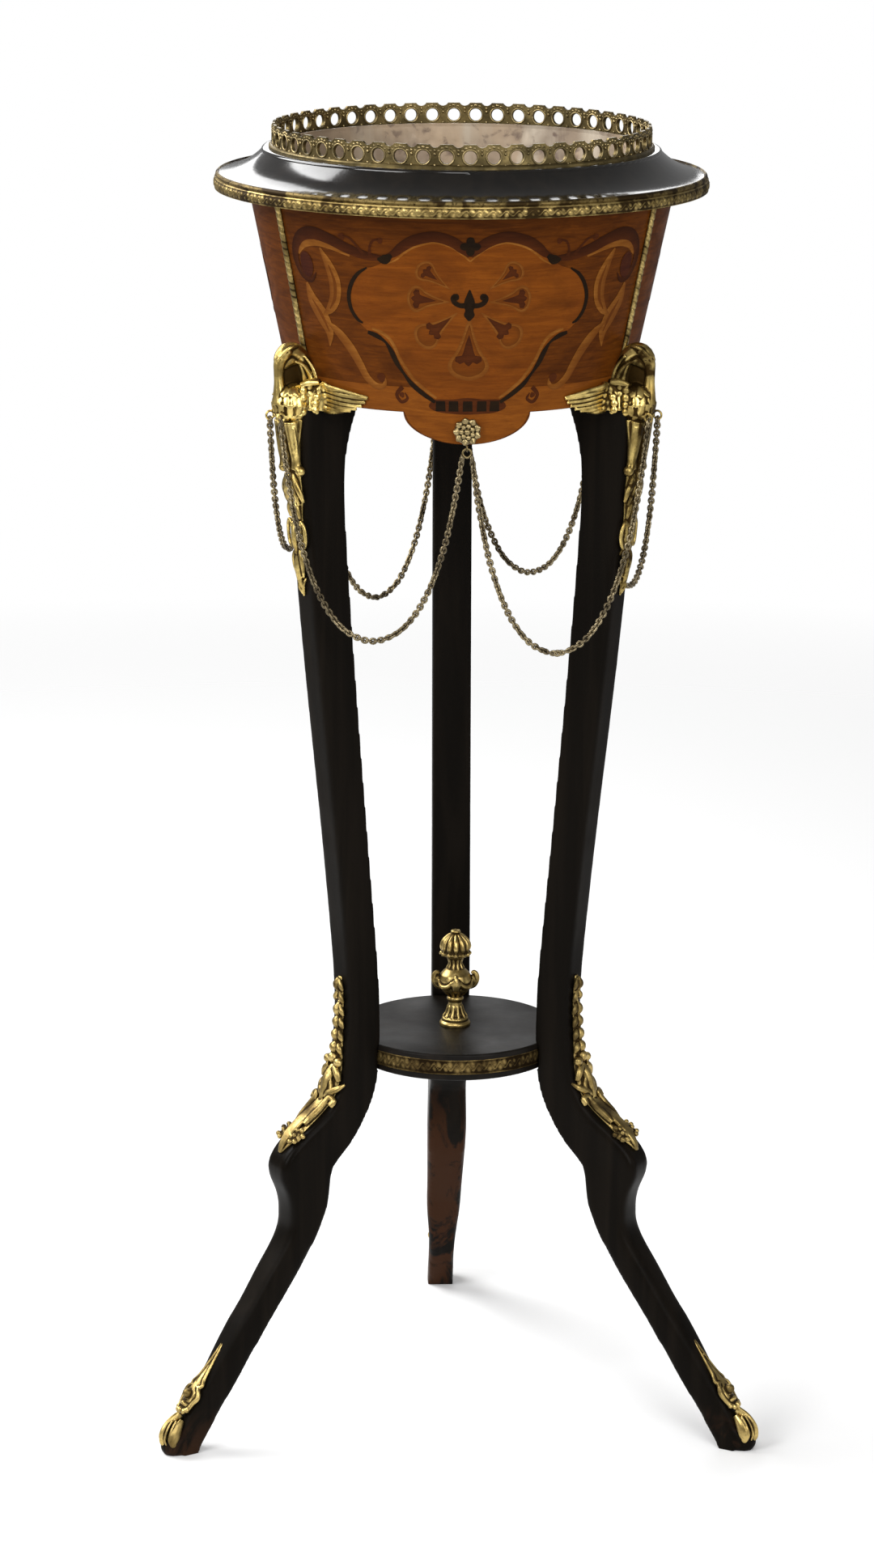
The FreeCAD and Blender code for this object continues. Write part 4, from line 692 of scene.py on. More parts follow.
def border(azimuth, name):
    """The lighter band along the foot of a panel, with the hanging lobe."""
    sheet = Sheet(azimuth, 0)
    edge = math.radians(BORDER_EDGE) * DRAWING_RADIUS
    rows = []
    for step in range(BORDER_STEPS + 1):
        across = -edge + 2 * edge * step / BORDER_STEPS
        true_across = across / DRAWING_RADIUS * wall_radius(WALL_FOOT)
        foot = WALL_FOOT + 0.5
        if abs(true_across) < APRON_HALF - 1:
            lobe = math.sqrt(1 - (true_across / (APRON_HALF - 0.3)) ** 2)
            foot = min(foot, WALL_FOOT - APRON_DROP * lobe + 0.4)
        rows.append([(across, foot + (BORDER_TOP - foot) * row / BORDER_ROWS)
                     for row in range(BORDER_ROWS + 1)])
    sheet.grid(rows, [[0.0] * len(row) for row in rows])
    sheet.cut("border_" + name, "border_wood")


# %% Lay a panel
def lay_panel(side, azimuth, full):
    """All the inlay of one panel; the front one also has its side scrolls."""
    border(azimuth, side)
    heart = Sheet(azimuth, 1)
    heart.field((0, 1010), curve_through(whole(HEART), True, 4), rings=14)
    heart.cut("heart_" + side, "heart_wood")
    pale, mid, brown, purple, dark = (Sheet(azimuth, layer) for layer in (2, 3, 4, 5, 6))
    leaves(pale, brown, mid)
    brown.stroke(moved(ARCH, 1.0, 1.5), (5, 8, 9, 9, 9, 8, 6, 3), (0.0, 0.8))
    pale.stroke(moved(ARCH, 0.97, -3.6), (1.2, 1.6, 1.8, 1.8, 1.8, 1.6, 1.4, 1))
    brown.stroke(CURL, (4.0, 3.4, 3.0, 2.6, 1.0), (0.2, 0.2))
    brown.lobed((61, 941), 2.6, 3, 0.2, 0.0, True)
    pale.stroke(moved(LOWER_LINE, 0.95, 3.5), (2, 3, 3, 3, 3, 3, 3, 3, 2), (0.5, 0.0))
    if full:
        brown.stroke(SWOOSH, (3, 7, 9, 10, 11, 10, 8.5, 7, 5.5, 4, 1), (0.1, 0.9))
        pale.stroke(moved(SWOOSH[2:7], 0.985, -6), (2, 7, 10, 8, 2), (0.0, 0.7))
        pale.stroke(INNER_SCROLL, (2, 9, 12, 11, 8, 1), (0.0, 0.8))
        mid.stroke(INNER_SCROLL[1:5], (1, 3, 3, 1), (0.6, 0.9))
        pale.stroke(LOW_SCROLL, (1, 8, 9, 8, 7, 6, 4, 3, 1), (0.0, 0.8))
        pale.stroke(OUTER_LEAF, (3, 12, 15, 10, 1), (0.0, 0.7))
        mid.stroke(OUTER_LEAF[1:4], (1, 3.4, 1), (0.5, 0.8))
        for sprig in SPRIGS:
            brown.stroke(sprig, (3, 2, 2, 1.5), (0.3, 0.3))
        for centre, size, depth in BERRIES:
            brown.lobed(centre, size, 3, depth, 0.3, True)
        oval = [(OVAL[0] + OVAL_HALF[0] * math.cos(a), OVAL[1] + OVAL_HALF[1] * math.sin(a))
                for a in wheel(28)]
        purple.field(OVAL, oval, mirror=True, rings=3)
    dark.stroke(SIDE_ARC, (1.4, 3.0, 3.6, 3.8, 3.6, 3.0, 1.6))
    dark.stroke(LOWER_LINE, (3.0, 4.4, 2.4, 4.6, 4.4, 2.6, 4.2, 4.2, 3.0))
    dark.stroke(((62, 1061), (68, 1057), (74, 1057)), (3, 8, 2))
    dark.lobed((0, 1070), 8.0, 4, 0.45)
    brown.field((0, 932), curve_through(whole(BOSS), True, 3), rings=4)
    for across in TILES_ACROSS:
        tile = [(across + x, TILES_HEIGHT + y) for x, y in TILE]
        dark.field((across, TILES_HEIGHT), tile, mirror=across > 0, rings=2)
    dark.field((0, 1020), curve_through(whole(LILY_BODY), True, 3), rings=4)
    dark.stroke(LILY_CURL, (5, 4.2, 4.2, 4.4, 4.0))
    dark.lobed((11.2, 1027), 3.0, 3, 0.1, 0.0, True)
    for sheet, name, wood in ((pale, "pale", "pale_wood"), (mid, "mid", "heart_wood"),
                              (brown, "brown", "brown_wood"), (dark, "dark", "ebony"),
                              (purple, "purple", "purple_wood")):
        if sheet.points:
            sheet.cut("inlay_%s_%s" % (name, side), wood)
    return sum(len(sheet.faces) for sheet in (heart, pale, mid, brown, dark, purple))


for side, azimuth in SIDES.items():
    print("panel", side, "has", lay_panel(side, azimuth, side == "front"), "faces of inlay")

# %% [markdown]
# ## Castings
# The gilt mounts were cast from a carved pattern, so their forms run into each
# other without seams. The same can be done here: simple strands and balls are
# put together like wax, a fine skin is drawn round all of them, and the skin
# is smoothed. A number at each point then says how deep it lies between its
# neighbours, and the metal is darker there, where polish and hands never came.

# %% Marks for the hollows
HOLLOW_START, HOLLOW_GAIN = 0.14, 2.2


def places_of(mesh, what="co"):
    """The places or the normals of all points, as rows."""
    values = numpy.empty(len(mesh.vertices) * 3)
    mesh.vertices.foreach_get(what, values)
    return values.reshape(-1, 3)


def mark_hollows(mesh, reach, full):
    """Stores how deep each point lies below the surface around it, 0 to 1."""
    count = len(mesh.vertices)
    places = places_of(mesh)
    ends = numpy.empty(len(mesh.edges) * 2, int)
    mesh.edges.foreach_get("vertices", ends)
    first, second = ends.reshape(-1, 2).T
    ways = numpy.bincount(first, minlength=count) + numpy.bincount(second, minlength=count)
    soft = places.copy()
    for step in range(reach):
        total = [numpy.bincount(first, soft[second, axis], count)
                 + numpy.bincount(second, soft[first, axis], count) for axis in range(3)]
        soft = numpy.stack(total, 1) / numpy.maximum(ways, 1)[:, None]
    depth = ((soft - places) * places_of(mesh, "normal")).sum(1)
    marks = numpy.clip(HOLLOW_START + HOLLOW_GAIN * depth / full, 0, 1)
    marked(mesh, "hollow", marks.astype(float))


def patina_and_painted_light(mesh, low, high, more):
    """Adds to the mark of everything in a box, in millimetres: patina on some castings, painted
    light and shade on the birds.
    """
    places = places_of(mesh) / MM
    marks = numpy.empty(len(mesh.vertices))
    mesh.attributes["hollow"].data.foreach_get("value", marks)
    inside = ((places > low) & (places < high)).all(1)
    marked(mesh, "hollow", numpy.clip(marks + inside * more, 0, 1))
    print("stained", int(inside.sum()), "points of", mesh.name)


# %% A skin round the wax
def wax_holder(name, mesh):
    """An object that holds a mesh while it is worked on."""
    holder = bpy.data.objects.new(name, mesh)
    bpy.context.scene.collection.objects.link(holder)
    return holder


def smoothed(holder, times):
    """Smooths what an object holds."""
    smooth = holder.modifiers.new("smooth", "SMOOTH")
    smooth.factor = 0.5
    smooth.iterations = times
    return smooth


def baked(holder, name):
    """The mesh with its holder's changes, as a smooth mesh of its own."""
    graph = bpy.context.evaluated_depsgraph_get()
    made = bpy.data.meshes.new_from_object(holder.evaluated_get(graph))
    bpy.data.objects.remove(holder)
    made.polygons.foreach_set("use_smooth", [True] * len(made.polygons))
    made.name = name
    return made


def skin(name, mesh, grain, soften):
    """Draws a skin round closed forms that overlap, and smooths it."""
    holder = wax_holder(name + "_wax", mesh)
    wrap = holder.modifiers.new("wrap", "REMESH")
    wrap.mode = "VOXEL"
    wrap.voxel_size = grain
    smoothed(holder, soften)
    return baked(holder, name)


# %% Strands and balls of wax
THINNEST, TIP_RADIUS = 0.25, 0.05


class Wax:
    """Strands and balls in millimetres, with +X out from the stand's axis."""

    def __init__(self):
        self.build = bmesh.new()

    def ball(self, centre, radii, turn=None):
        """A ball or an egg."""
        shape = Matrix.Diagonal((*(Vector(radii) * MM), 1))
        place = Matrix.Translation(Vector(centre) * MM) @ (turn or Matrix.Identity(4)) @ shape
        bmesh.ops.create_icosphere(self.build, subdivisions=2, radius=1, matrix=place)

    def tube(self, rings, closed=False):
        """Joins rings of points into a tube, with its ends shut if it has any."""
        sides = len(rings[0])
        pairs = list(zip(rings, rings[1:]))
        if closed:
            pairs.append((rings[-1], rings[0]))
        for near, far in pairs:
            for step in range(sides):
                after = (step + 1) % sides
                self.build.faces.new((near[step], near[after], far[after], far[step]))
        if not closed:
            self.build.faces.new(rings[0][::-1])
            self.build.faces.new(rings[-1])

    def strand(self, drawn, up=(1, 0, 0), flat=1.0, closed=False, sides=10, pieces=5):
        """A strand along drawn points (x, y, z, radius), with its flat side facing up."""
        self.strip([(*point, *up) for point in drawn], flat, closed, sides, pieces)

    def strip(self, drawn, flat, closed=False, sides=10, pieces=5):
        """A strand along points that each have a radius and an up direction."""
        line = curve_through(drawn, closed, pieces)
        rings = []
        for number, values in enumerate(line):
            place, radius, up = Vector(values[:3]), values[3], Vector(values[4:])
            last = len(line) - 1
            before = line[number - 1] if closed else line[max(number - 1, 0)]
            after = line[(number + 1) % len(line)] if closed else line[min(number + 1, last)]
            along = (Vector(after[:3]) - Vector(before[:3])).normalized()
            up = (up - along * up.dot(along)).normalized()
            side = along.cross(up)
            ring = []
            for angle in wheel(sides):
                reach = side * math.cos(angle) + up * (math.sin(angle) * flat)
                ring.append(self.build.verts.new((place + reach * max(radius, THINNEST)) * MM))
            rings.append(ring)
        self.tube(rings, closed)

    def laid(self, drawn, flat=0.7, closed=False, mirror=True):
        """A strand laid on the leg or the bowl: (across, height, lift, radius)."""
        for side in ((1, -1) if mirror else (1,)):
            placed = []
            for across, height, lift, radius in drawn:
                place, up = bed(across * side, height)
                placed.append((*(place + up * lift), radius, *up))
            self.strip(placed, flat, closed)

    def single(self, drawn, flat):
        """A laid strand on the middle line, which needs no twin."""
        self.laid(drawn, flat, mirror=False)

    def drop(self, across, height, lift, radii, mirror=True):
        """A ball laid on the leg or the bowl; the first radius points out."""
        for side in ((1, -1) if mirror and across else (1,)):
            place, up = bed(across * side, height)
            turn = up.to_track_quat("X", "Z").to_matrix().to_4x4()
            self.ball(place + up * lift, radii, turn)

    def lathe(self, profile, sides=40):
        """A turned form on the upright axis, from (radius, height) pairs."""
        rings = []
        for radius, height in profile:
            reach = max(radius, TIP_RADIUS)
            rings.append([self.build.verts.new(Vector(turned(angle, reach, height)) * MM)
                          for angle in wheel(sides)])
        self.tube(rings)

    def melted(self, name):
        """All the forms as one plain mesh, still apart."""
        mesh = bpy.data.meshes.new(name)
        self.build.to_mesh(mesh)
        self.build.free()
        return mesh

    def cast(self, name, grain, full, soften=2, reach=14):
        """The finished cast mesh; grain and full are in millimetres."""
        made = skin(name, self.melted(name + "_forms"), grain * MM, soften)
        mark_hollows(made, reach, full * MM)
        return made


# %% The bed that the mounts lie on
def leg_frame_tree(nodes, azimuth):
    """The outer surfaces of some nodes, in millimetres, with +X to an azimuth."""
    points = []
    faces = []
    back = Matrix.Diagonal((1 / MM, 1 / MM, 1 / MM, 1)) @ turned_to(azimuth).inverted()
    for node in nodes:
        mesh = bpy.data.objects[node].data
        first = len(points)
        points += [back @ vertex.co for vertex in mesh.vertices]
        faces += [[first + index for index in face.vertices] for face in mesh.polygons]
    return BVHTree.FromPolygons(points, faces)


BED = leg_frame_tree(["leg_back", "marquetry_panel_rear_left", "marquetry_panel_rear_right"],
                     LEGS["back"])
BESIDE = 0.013
SCREW_CLEAR = 8.0
LEG_SIDE = 13.0
WING_LOW = 900.0
LOOK_FROM, LEAST_REACH = 400, 100
# Where a place is off the bed, the nearest of these shares of it that is on the bed serves.
TRIED_SHARES = (1.0, 0.97, 0.93, 0.88, 0.82, 0.75, 0.6, 0.4, 0.2, 0.0)


def bed(across, height):
    """The surface under a mount and the direction out of it."""
    look_at = height
    if abs(across) > LEG_SIDE and height > WING_LOW:
        look_at = max(height, WALL_FOOT + 2)
    for share in TRIED_SHARES:
        for beside in (BESIDE, SCREW_CLEAR):
            aim = Vector((LOOK_FROM, across * share + beside, look_at + BESIDE))
            place, up = BED.ray_cast(aim, Vector((-1, 0, 0)))[:2]
            if place and place.x > LEAST_REACH:
                return Vector((place.x, across, height)), (up if up.x > 0 else -up)
    return Vector((WALL_FOOT_RADIUS, across, height)), Vector((1, 0, 0))


print("at the knee a mount lies %.1f mm out" % bed(0, 300)[0].x)


# %% Hanging a casting on each leg
def hang_mounts(mesh, prefix, material, stains=None):
    """Puts one casting on each of the three legs; stains gives a leg its own copy with painted
    light and shade.
    """
    mesh.materials.append(look[material])
    for leg, azimuth in LEGS.items():
        own = mesh
        if stains and leg in stains:
            own = mesh.copy()
            patina_and_painted_light(own, *stains[leg])
        set_down("cast_" + prefix + leg, own, prefix + leg, turned_to(azimuth))
    print(prefix, "has", len(mesh.polygons), "faces")


# %% [markdown]
# ### The birds
# Each leg ends at the bowl in a bird with a bowed head. A thin web fills the
# round opening between its neck and its bill, darkened as painted shade so
# that it reads as a dark hole. Its wings lie back on the bowl, with scales at
# the root and long feathers to the tip. Below the breast the casting goes on
# down the leg as two fluted shanks, husks, a pair of open loops and a leaf.

# %% Head, neck and breast
ACROSS = (0, 1, 0)
EYE = (184.5, 9.0, 914.5)
EYE_RADIUS, EYE_WIRE = 3.6, 1.1
BREAST = Vector((169, 0, 924))
BREAST_SIZE = (15.5, 16, 19)
SCALE_DEPTH = 0.99
bird = Wax()
bird.strand([(151, 0, 928, 9), (152, 0, 942, 8.0), (155, 0, 955, 7.6), (161, 0, 965, 7.4),
             (169, 0, 969.5, 7.2), (176, 0, 967, 6.8), (180, 0, 960, 5.6), (181, 0, 952, 4.6),
             (180.8, 0, 944, 4.6), (180, 0, 936, 6.0), (178, 0, 927, 9)], up=ACROSS, flat=0.86)
beak = Matrix.Rotation(math.radians(38), 4, "Y")
bird.ball((175.5, 0, 968), (11, 6.9, 6.6), beak)
bird.strand([(163, 0, 962, 5), (171, 0, 961, 5.4), (178, 0, 957, 4.6)], up=ACROSS, flat=0.8)
# A thin web across the opening between neck and bill, darkened further down as painted shade.
bird.ball((168, 0, 948), (13, 1.1, 15))
bird.strand([(168, 0, 975.6, 1.2), (175, 0, 974.2, 1.7), (181.5, 0, 969, 1.5),
             (184.8, 0, 963.4, 1.0)], up=ACROSS)
for side in (-1, 1):
    bird.ball((174, side * 6.0, 969.5), (2.0, 1.5, 1.7))
    bird.strand([(166, side * 5.6, 974, 1.2), (173, side * 6.6, 973, 1.5),
                 (180, side * 5, 968, 1.2), (184, side * 2.6, 962, 0.9)], up=(0, side, 0))
    bird.strand([(169, side * 6.4, 961, 1.0), (161, side * 7.4, 957, 1.6),
                 (155, side * 8.0, 948, 2.0), (154, side * 10, 938, 2.0)], up=(0, side, 0))
    bird.strand([(160, side * 7.0, 965, 1.0), (153, side * 8.6, 955, 1.8),
                 (150, side * 10, 945, 2.2)], up=(0, side, 0))
bird.ball(BREAST, BREAST_SIZE)
for row in range(4):
    lift = math.radians(40 - 26 * row)
    for step in range(-3, 4):
        angle = math.radians(27 * (step + (row % 2) / 2 + chance.uniform(-0.15, 0.15)))
        spot = Vector((BREAST_SIZE[0] * math.cos(lift) * math.cos(angle),
                       BREAST_SIZE[1] * math.cos(lift) * math.sin(angle),
                       BREAST_SIZE[2] * math.sin(lift))) * SCALE_DEPTH
        turn = spot.to_track_quat("X", "Z").to_matrix().to_4x4()
        bird.ball(BREAST + spot, (1.0, 3.1, chance.uniform(5.0, 6.8)), turn)
for side in (-1, 1):
    circle = [(EYE[0] + EYE_RADIUS * math.cos(a), side * EYE[1],
               EYE[2] + EYE_RADIUS * math.sin(a), EYE_WIRE) for a in wheel(12)]
    bird.strand(circle, up=ACROSS, closed=True, sides=8, pieces=2)
print("head, neck and breast have", len(bird.build.faces), "faces of wax")

# %% Wings
FEATHER_TIPS = ((66, 935.4), (63.5, 931.8), (59.5, 928.2), (54.5, 925.2), (48.5, 923.0),
                (41, 921.6))
FEATHER_ROOTS = (939.5, 935.4, 931.3, 927.4, 923.6, 920.4)
bird.laid([(15, 931, 0, 12), (26, 931, 0, 11.5), (38, 931.5, 0, 9.5), (50, 932.5, 0.5, 6.5),
           (60, 934.5, 0.5, 2.5)], 0.2)
bird.laid([(17, 942.4, 4.6, 3.4), (28, 941.6, 3.8, 3.0), (42, 940, 3, 2.4), (56, 938, 2.2, 1.8),
           (66.5, 936.6, 1, 1.0)])
for (across, height), root in zip(FEATHER_TIPS, FEATHER_ROOTS):
    middle = (across + 20) / 2
    bird.laid([(20, root, 3.8, 1.9), (middle, (root + height) / 2 - 0.4, 3.6, 2.3),
               (across, height, 1.8, 1.3)], 0.85)
for side in (-1, 1):
    bird.ball((159, side * 12.5, 929), (13, 3.0, 14.5))
    bird.strand([(167, side * 12, 941, 2.6), (160, side * 14.5, 943.4, 3.4),
                 (152, side * 16.5, 943, 3.4)], up=(0, side, 0))
    for column in range(3):
        for row in range(4):
            place = (165.4 - column * 5.8, side * (14.6 + column * 0.5),
                     918.5 + row * 6.2 + (column % 2) * 3.1)
            bird.ball(place, (3.4, 2.2, chance.uniform(3.2, 3.9)))
for column in range(2):
    for row in range(4):
        bird.drop(17 + column * 6, 920.5 + row * 5.6 + column * 2.4, 4.4,
                  (1.8, 3.3, chance.uniform(2.9, 3.5)))
print("with its wings the bird has", len(bird.build.faces), "faces of wax")

# %% Shanks, husks, loops and leaf
bird.single([(0, 912, 1, 16), (0, 893, 2, 14), (0, 872, 2, 12), (0, 855, 1, 11), (0, 842, 1, 11),
             (0, 828, 1, 8.5), (0, 812, 1, 9), (0, 797, 1, 8), (0, 783, 1, 6.5), (0, 770, 1, 4.5),
             (0, 757, 0.5, 1.4)], 0.34)
bird.single([(0, 908, 7, 7), (0, 892, 8.6, 5.6), (0, 878, 7.4, 4.8), (0, 868, 5.6, 3.4)], 0.9)
bird.laid([(8, 910, 7, 7), (9.4, 896, 5.6, 5.6), (10, 884, 4.6, 4.8), (10, 876, 4, 4.2),
           (10, 870, 4, 5.0)], 0.95)
for groove in (-3.4, 0, 3.4):
    bird.laid([(9 + groove, 906, 11.2 - abs(groove) * 0.7, 1.3),
               (9.8 + groove * 0.8, 890, 9 - abs(groove) * 0.6, 1.2),
               (10 + groove * 0.6, 877, 7 - abs(groove) * 0.5, 1.0)], 1.0)
bird.drop(12.4, 868.5, 3.6, (4.5, 4.5, 4.5))
for step in range(5):
    bird.laid([(0.5, 903 - step * 7, 10.4 - step * 0.7, 1.2),
               (3.2, 897 - step * 7, 10 - step * 0.7, 1.6)], 0.9)
bird.single([(0, 868, 5, 2.6), (0, 858, 7.6, 4.4), (0, 846, 7, 4.0), (0, 836, 4.4, 1.8)], 0.8)
bird.laid([(3.4, 866, 4, 2.0), (8, 858, 5.4, 3.0), (11.6, 850, 4.6, 2.9), (12.8, 841, 2.8, 1.4)],
           0.8)
bird.laid([(2.6, 862, 6.2, 1.2), (6.2, 853, 6.8, 1.8), (8.6, 845, 5.8, 1.9), (8.4, 838, 3.6, 1.2)],
           0.9)
bird.single([(0, 840, 5.4, 2.8), (0, 832, 5.4, 3.4), (0, 822, 3.4, 1.8)], 0.9)
bird.laid([(3.6, 842, 4.8, 2.2), (6.8, 834, 4.6, 2.4), (7.4, 826, 3.2, 1.4)], 0.9)
bird.laid([(9.6 + 3.4 * math.cos(a), 812 + 11.5 * math.sin(a), 3.6, 1.6) for a in wheel(10)], 1.0,
          closed=True)
bird.single([(0, 824, 3.6, 2.4), (0, 812, 5.4, 3.6), (0, 800, 4.4, 3.0), (0, 794, 3, 1.8)], 0.9)
for step in range(4):
    bird.drop(4.6, 820 - step * 6, 3.6, (1.8, 1.8, 2.6))
bird.single([(0, 797, 3, 2.6), (0, 785, 4.6, 4.2), (0, 772, 4, 3.4), (0, 763, 2.4, 1.9),
             (0, 756.5, 1, 0.8)], 0.6)
bird.single([(0, 797, 6.0, 1.2), (0, 783, 7.0, 1.4), (0, 768, 5.0, 1.0), (0, 759, 2.2, 0.7)], 1.0)
bird.laid([(2.6, 799, 3, 2.2), (5.8, 792, 4, 2.6), (6.6, 783, 3.6, 2.2), (4.8, 774, 2.6, 1.2)], 0.8)
bird_mesh = bird.cast("bird", 0.62, full=0.4)
# Low and high corners of the darker boxes: the web as painted shade, the shanks, the groove between
# them.
DARKER_BOXES = (((159, -2.6, 938), (179, 2.6, 958), 0.9), ((100, -30, 740), (220, 30, 907), 0.22),
          ((100, -7.5, 866), (220, 7.5, 905), 0.35))
# One wing of the left bird is painted brighter as painted light, and the right bird darker and
# browner as painted shade.
BIRD_LIGHT_AND_SHADE = {"front_left": ((100, 12, 880), (220, 70, 935), -0.3),
              "front_right": ((100, -13, 740), (220, 30, 975), 0.3)}
for box in DARKER_BOXES:
    patina_and_painted_light(bird_mesh, *box)
hang_mounts(bird_mesh, "bird_mount_", "gilt", BIRD_LIGHT_AND_SHADE)

# %% [markdown]
# ### The knees and the feet
# Down each knee runs a string of small husks that opens into leaves, two bars
# with rolled ends, a flower on each side and a ribbed tongue. The foot wears
# a long pointed leaf, a knob between two scrolls, two rolls and a shell.

# %% Knee mounts
knee = Wax()
knee.single([(0, 412, 0.5, 3), (0, 400, 1, 5), (0, 380, 1, 5.4), (0, 360, 1, 6), (0, 342, 1, 9),
             (0, 325, 1, 11), (0, 308, 1, 11.5), (0, 295, 1, 9.5), (0, 280, 1, 9.5),
             (0, 270, 1, 8.5), (0, 264, 0.8, 5), (0, 259, 0.5, 2)], 0.3)
for step in range(6):
    top = 411 - step * 11.6
    size = 1 + step * 0.06
    knee.single([(0, top, 2.4, 1.4 * size), (0, top - 6, 4.6, 3.5 * size),
                 (0, top - 11.5, 2.8, 1.8 * size)], 0.95)
    knee.laid([(1.5, top - 1, 2.4, 1.4), (4.6 * size, top - 6.5, 3.2, 2.4 * size),
               (6.2 * size, top - 11, 2, 1.2)], 0.9)
knee.drop(0, 338, 5, (4.6, 5, 5))
knee.drop(8.5, 335, 4.4, (4, 4.6, 4.2))
knee.single([(0, 333, 5, 4), (0, 320, 6, 5.2), (0, 308, 6, 4.4), (0, 300, 4, 3.4)], 0.9)
knee.laid([(4, 330, 4.6, 3.2), (10, 325, 4.6, 3.6), (12.5, 318, 3.4, 2.2)], 0.9)
knee.laid([(1, 303, 4.6, 3.2), (7.5, 307, 5, 3.8), (13, 312.5, 3.6, 2.6), (15.5, 317, 1.5, 1.2)],
           0.7)
knee.laid([(4, 317, 5.6, 2.2), (7.5, 311, 5.4, 2.4), (8, 304, 4.4, 2.0)], 0.9)
knee.laid([(13.2, 297, 3.8, 3.0), (13.2, 301.5, 4.2, 3.0), (10, 302.5, 4.8, 2.8),
           (8.4, 297.5, 5.4, 3.0), (8, 291, 5.6, 3.3), (7.2, 285, 5.4, 3.2), (6.2, 280, 4.6, 2.4)],
           0.95)
FLOWER = (9.6, 272)
for angle in wheel(6, 0.25):
    knee.drop(FLOWER[0] + 4.1 * math.cos(angle), FLOWER[1] + 4.4 * math.sin(angle), 5.0,
              (2.4, 2.5, 2.5))
knee.drop(*FLOWER, 2.6, (3.4, 5.6, 5.8))
knee.drop(*FLOWER, 6.4, (2.2, 2.0, 2.0))
for rib in (-2, -1, 0, 1, 2):
    knee.single([(rib * 1.5, 299, 4.4, 1.4), (rib * 1.7, 290, 5.6, 1.7), (rib * 1.9, 280, 6.6, 1.9),
                 (rib * 1.8, 271, 5.8, 1.8), (rib * 1.0, 264, 3.6, 1.5),
                 (rib * 0.4, 259, 1.2, 1.0)], 1.0)
knee_mesh = knee.cast("knee", 0.6, full=0.26)
patina_and_painted_light(knee_mesh, (100, -30, 250), (300, 30, 420), 0.15)
hang_mounts(knee_mesh, "knee_mount_", "old_gilt")

# %% Foot mounts
foot = Wax()
foot.single([(0, 97, 0.4, 0.8), (0, 85, 0.8, 1.8), (0, 72, 1, 3.2), (0, 62, 1.4, 5.6),
             (0, 54, 2.2, 7.4), (0, 46, 2.2, 7.6), (0, 37, 2.2, 7.6)], 0.5)
foot.laid([(0.4, 98, 0.9, 0.9), (1.4, 86, 1.2, 1.3), (2.9, 74, 1.5, 1.5), (4.8, 64, 2.0, 1.7),
           (7.2, 58.5, 2.8, 1.6), (3.6, 56, 4, 1.6)], 1.0)
foot.single([(0, 78, 0.9, 0.7), (0, 70, 1.6, 1.1), (0, 60, 3.2, 1.7)], 1.0)
shin = bed(0, 53)[0].x
foot.strand([(shin - 4, 0, 51, 4.6), (shin + 4, 0, 52.5, 4.0), (shin + 7, 0, 53.5, 3.4)],
            up=ACROSS)
foot.ball((shin + 8.6, 0, 53.5), (4.3, 4.3, 4.3))
foot.laid([(4, 57, 3.4, 1.5), (7.4, 54, 4, 2.0), (8.6, 49, 3.6, 2.2), (7.6, 44, 3.2, 2.0),
           (6.4, 40, 3.4, 2.0), (4.6, 37.5, 4.4, 1.8)], 1.0)
foot.drop(6.6, 38, 4.0, (2.2, 2.3, 2.3))
for height, wide, out in ((46.5, 4.2, 5.4), (42, 4.8, 6.4)):
    foot.single([(-wide, height - 0.6, out - 2.2, 1.5), (0, height, out, 2.0),
                 (wide, height - 0.6, out - 2.2, 1.5)], 1.0)
for across in (-4.5, 0, 4.5):
    foot.drop(across, 36.5, 6.4 - abs(across) * 0.3, (2.2, 2.1, 3.0), mirror=False)
foot.strand([(283, 0, 35, 4.4), (292, 0, 29, 5.6), (298, 0, 21, 6.2), (300, 0, 13.5, 4.6),
             (298, 0, 9.5, 2.4)], up=ACROSS, flat=0.55)
for side in (-1, 1):
    foot.strand([(284, side * 4.5, 31, 2.6), (289, side * 6.6, 26, 4.2),
                 (293.5, side * 8.2, 19, 5.2), (295, side * 8.4, 12.5, 4),
                 (293, side * 8.2, 9.5, 2.2)], up=ACROSS, flat=0.55)
    for rib, out in ((1.5, 302.6), (4.4, 301.6), (7.4, 299.0)):
        foot.strand([(out - 9, side * rib * 0.6, 32, 0.7), (out - 3, side * rib * 0.9, 25, 1.0),
                     (out, side * rib, 17, 1.1), (out - 1.6, side * rib, 10.5, 0.8)], up=ACROSS)
hang_mounts(foot.cast("foot", 0.5, full=0.28), "foot_mount_", "old_gilt")

# %% [markdown]
# ### The urn on the undertier
# The urn is turned on a lathe first and then dressed with four scrolled
# handles, swags between them, flutes on its neck and ribs on its dome.

# %% The urn
low, high = (Vector(corner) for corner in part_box("urn_finial"))
URN = Vector(((low.x + high.x) / 2, (low.y + high.y) / 2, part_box("undertier")[1][2]))
# Points are (radius, height).
URN_PROFILE = ((0, 0), (13.8, 0), (13.9, 2.4), (12.6, 4.2), (11.4, 4.8), (11.8, 6.6), (9.4, 8.8),
               (7.4, 13), (6.2, 19), (6.0, 22), (7.4, 23.6), (7.4, 25.4), (6.0, 27), (8, 29.6),
               (12.4, 33), (14.6, 38), (14.8, 43), (13.4, 47), (10.4, 50.4), (7.4, 53), (5.4, 57.5),
               (6.4, 61.5), (11.6, 64.4), (13.0, 66.2), (12.2, 68.4), (11.8, 70), (11.6, 74),
               (9.6, 79), (6, 82.6), (3.6, 84), (3.2, 85), (4.6, 86.4), (3.8, 87.6), (0, 88))
urn = Wax()
urn.lathe(URN_PROFILE)

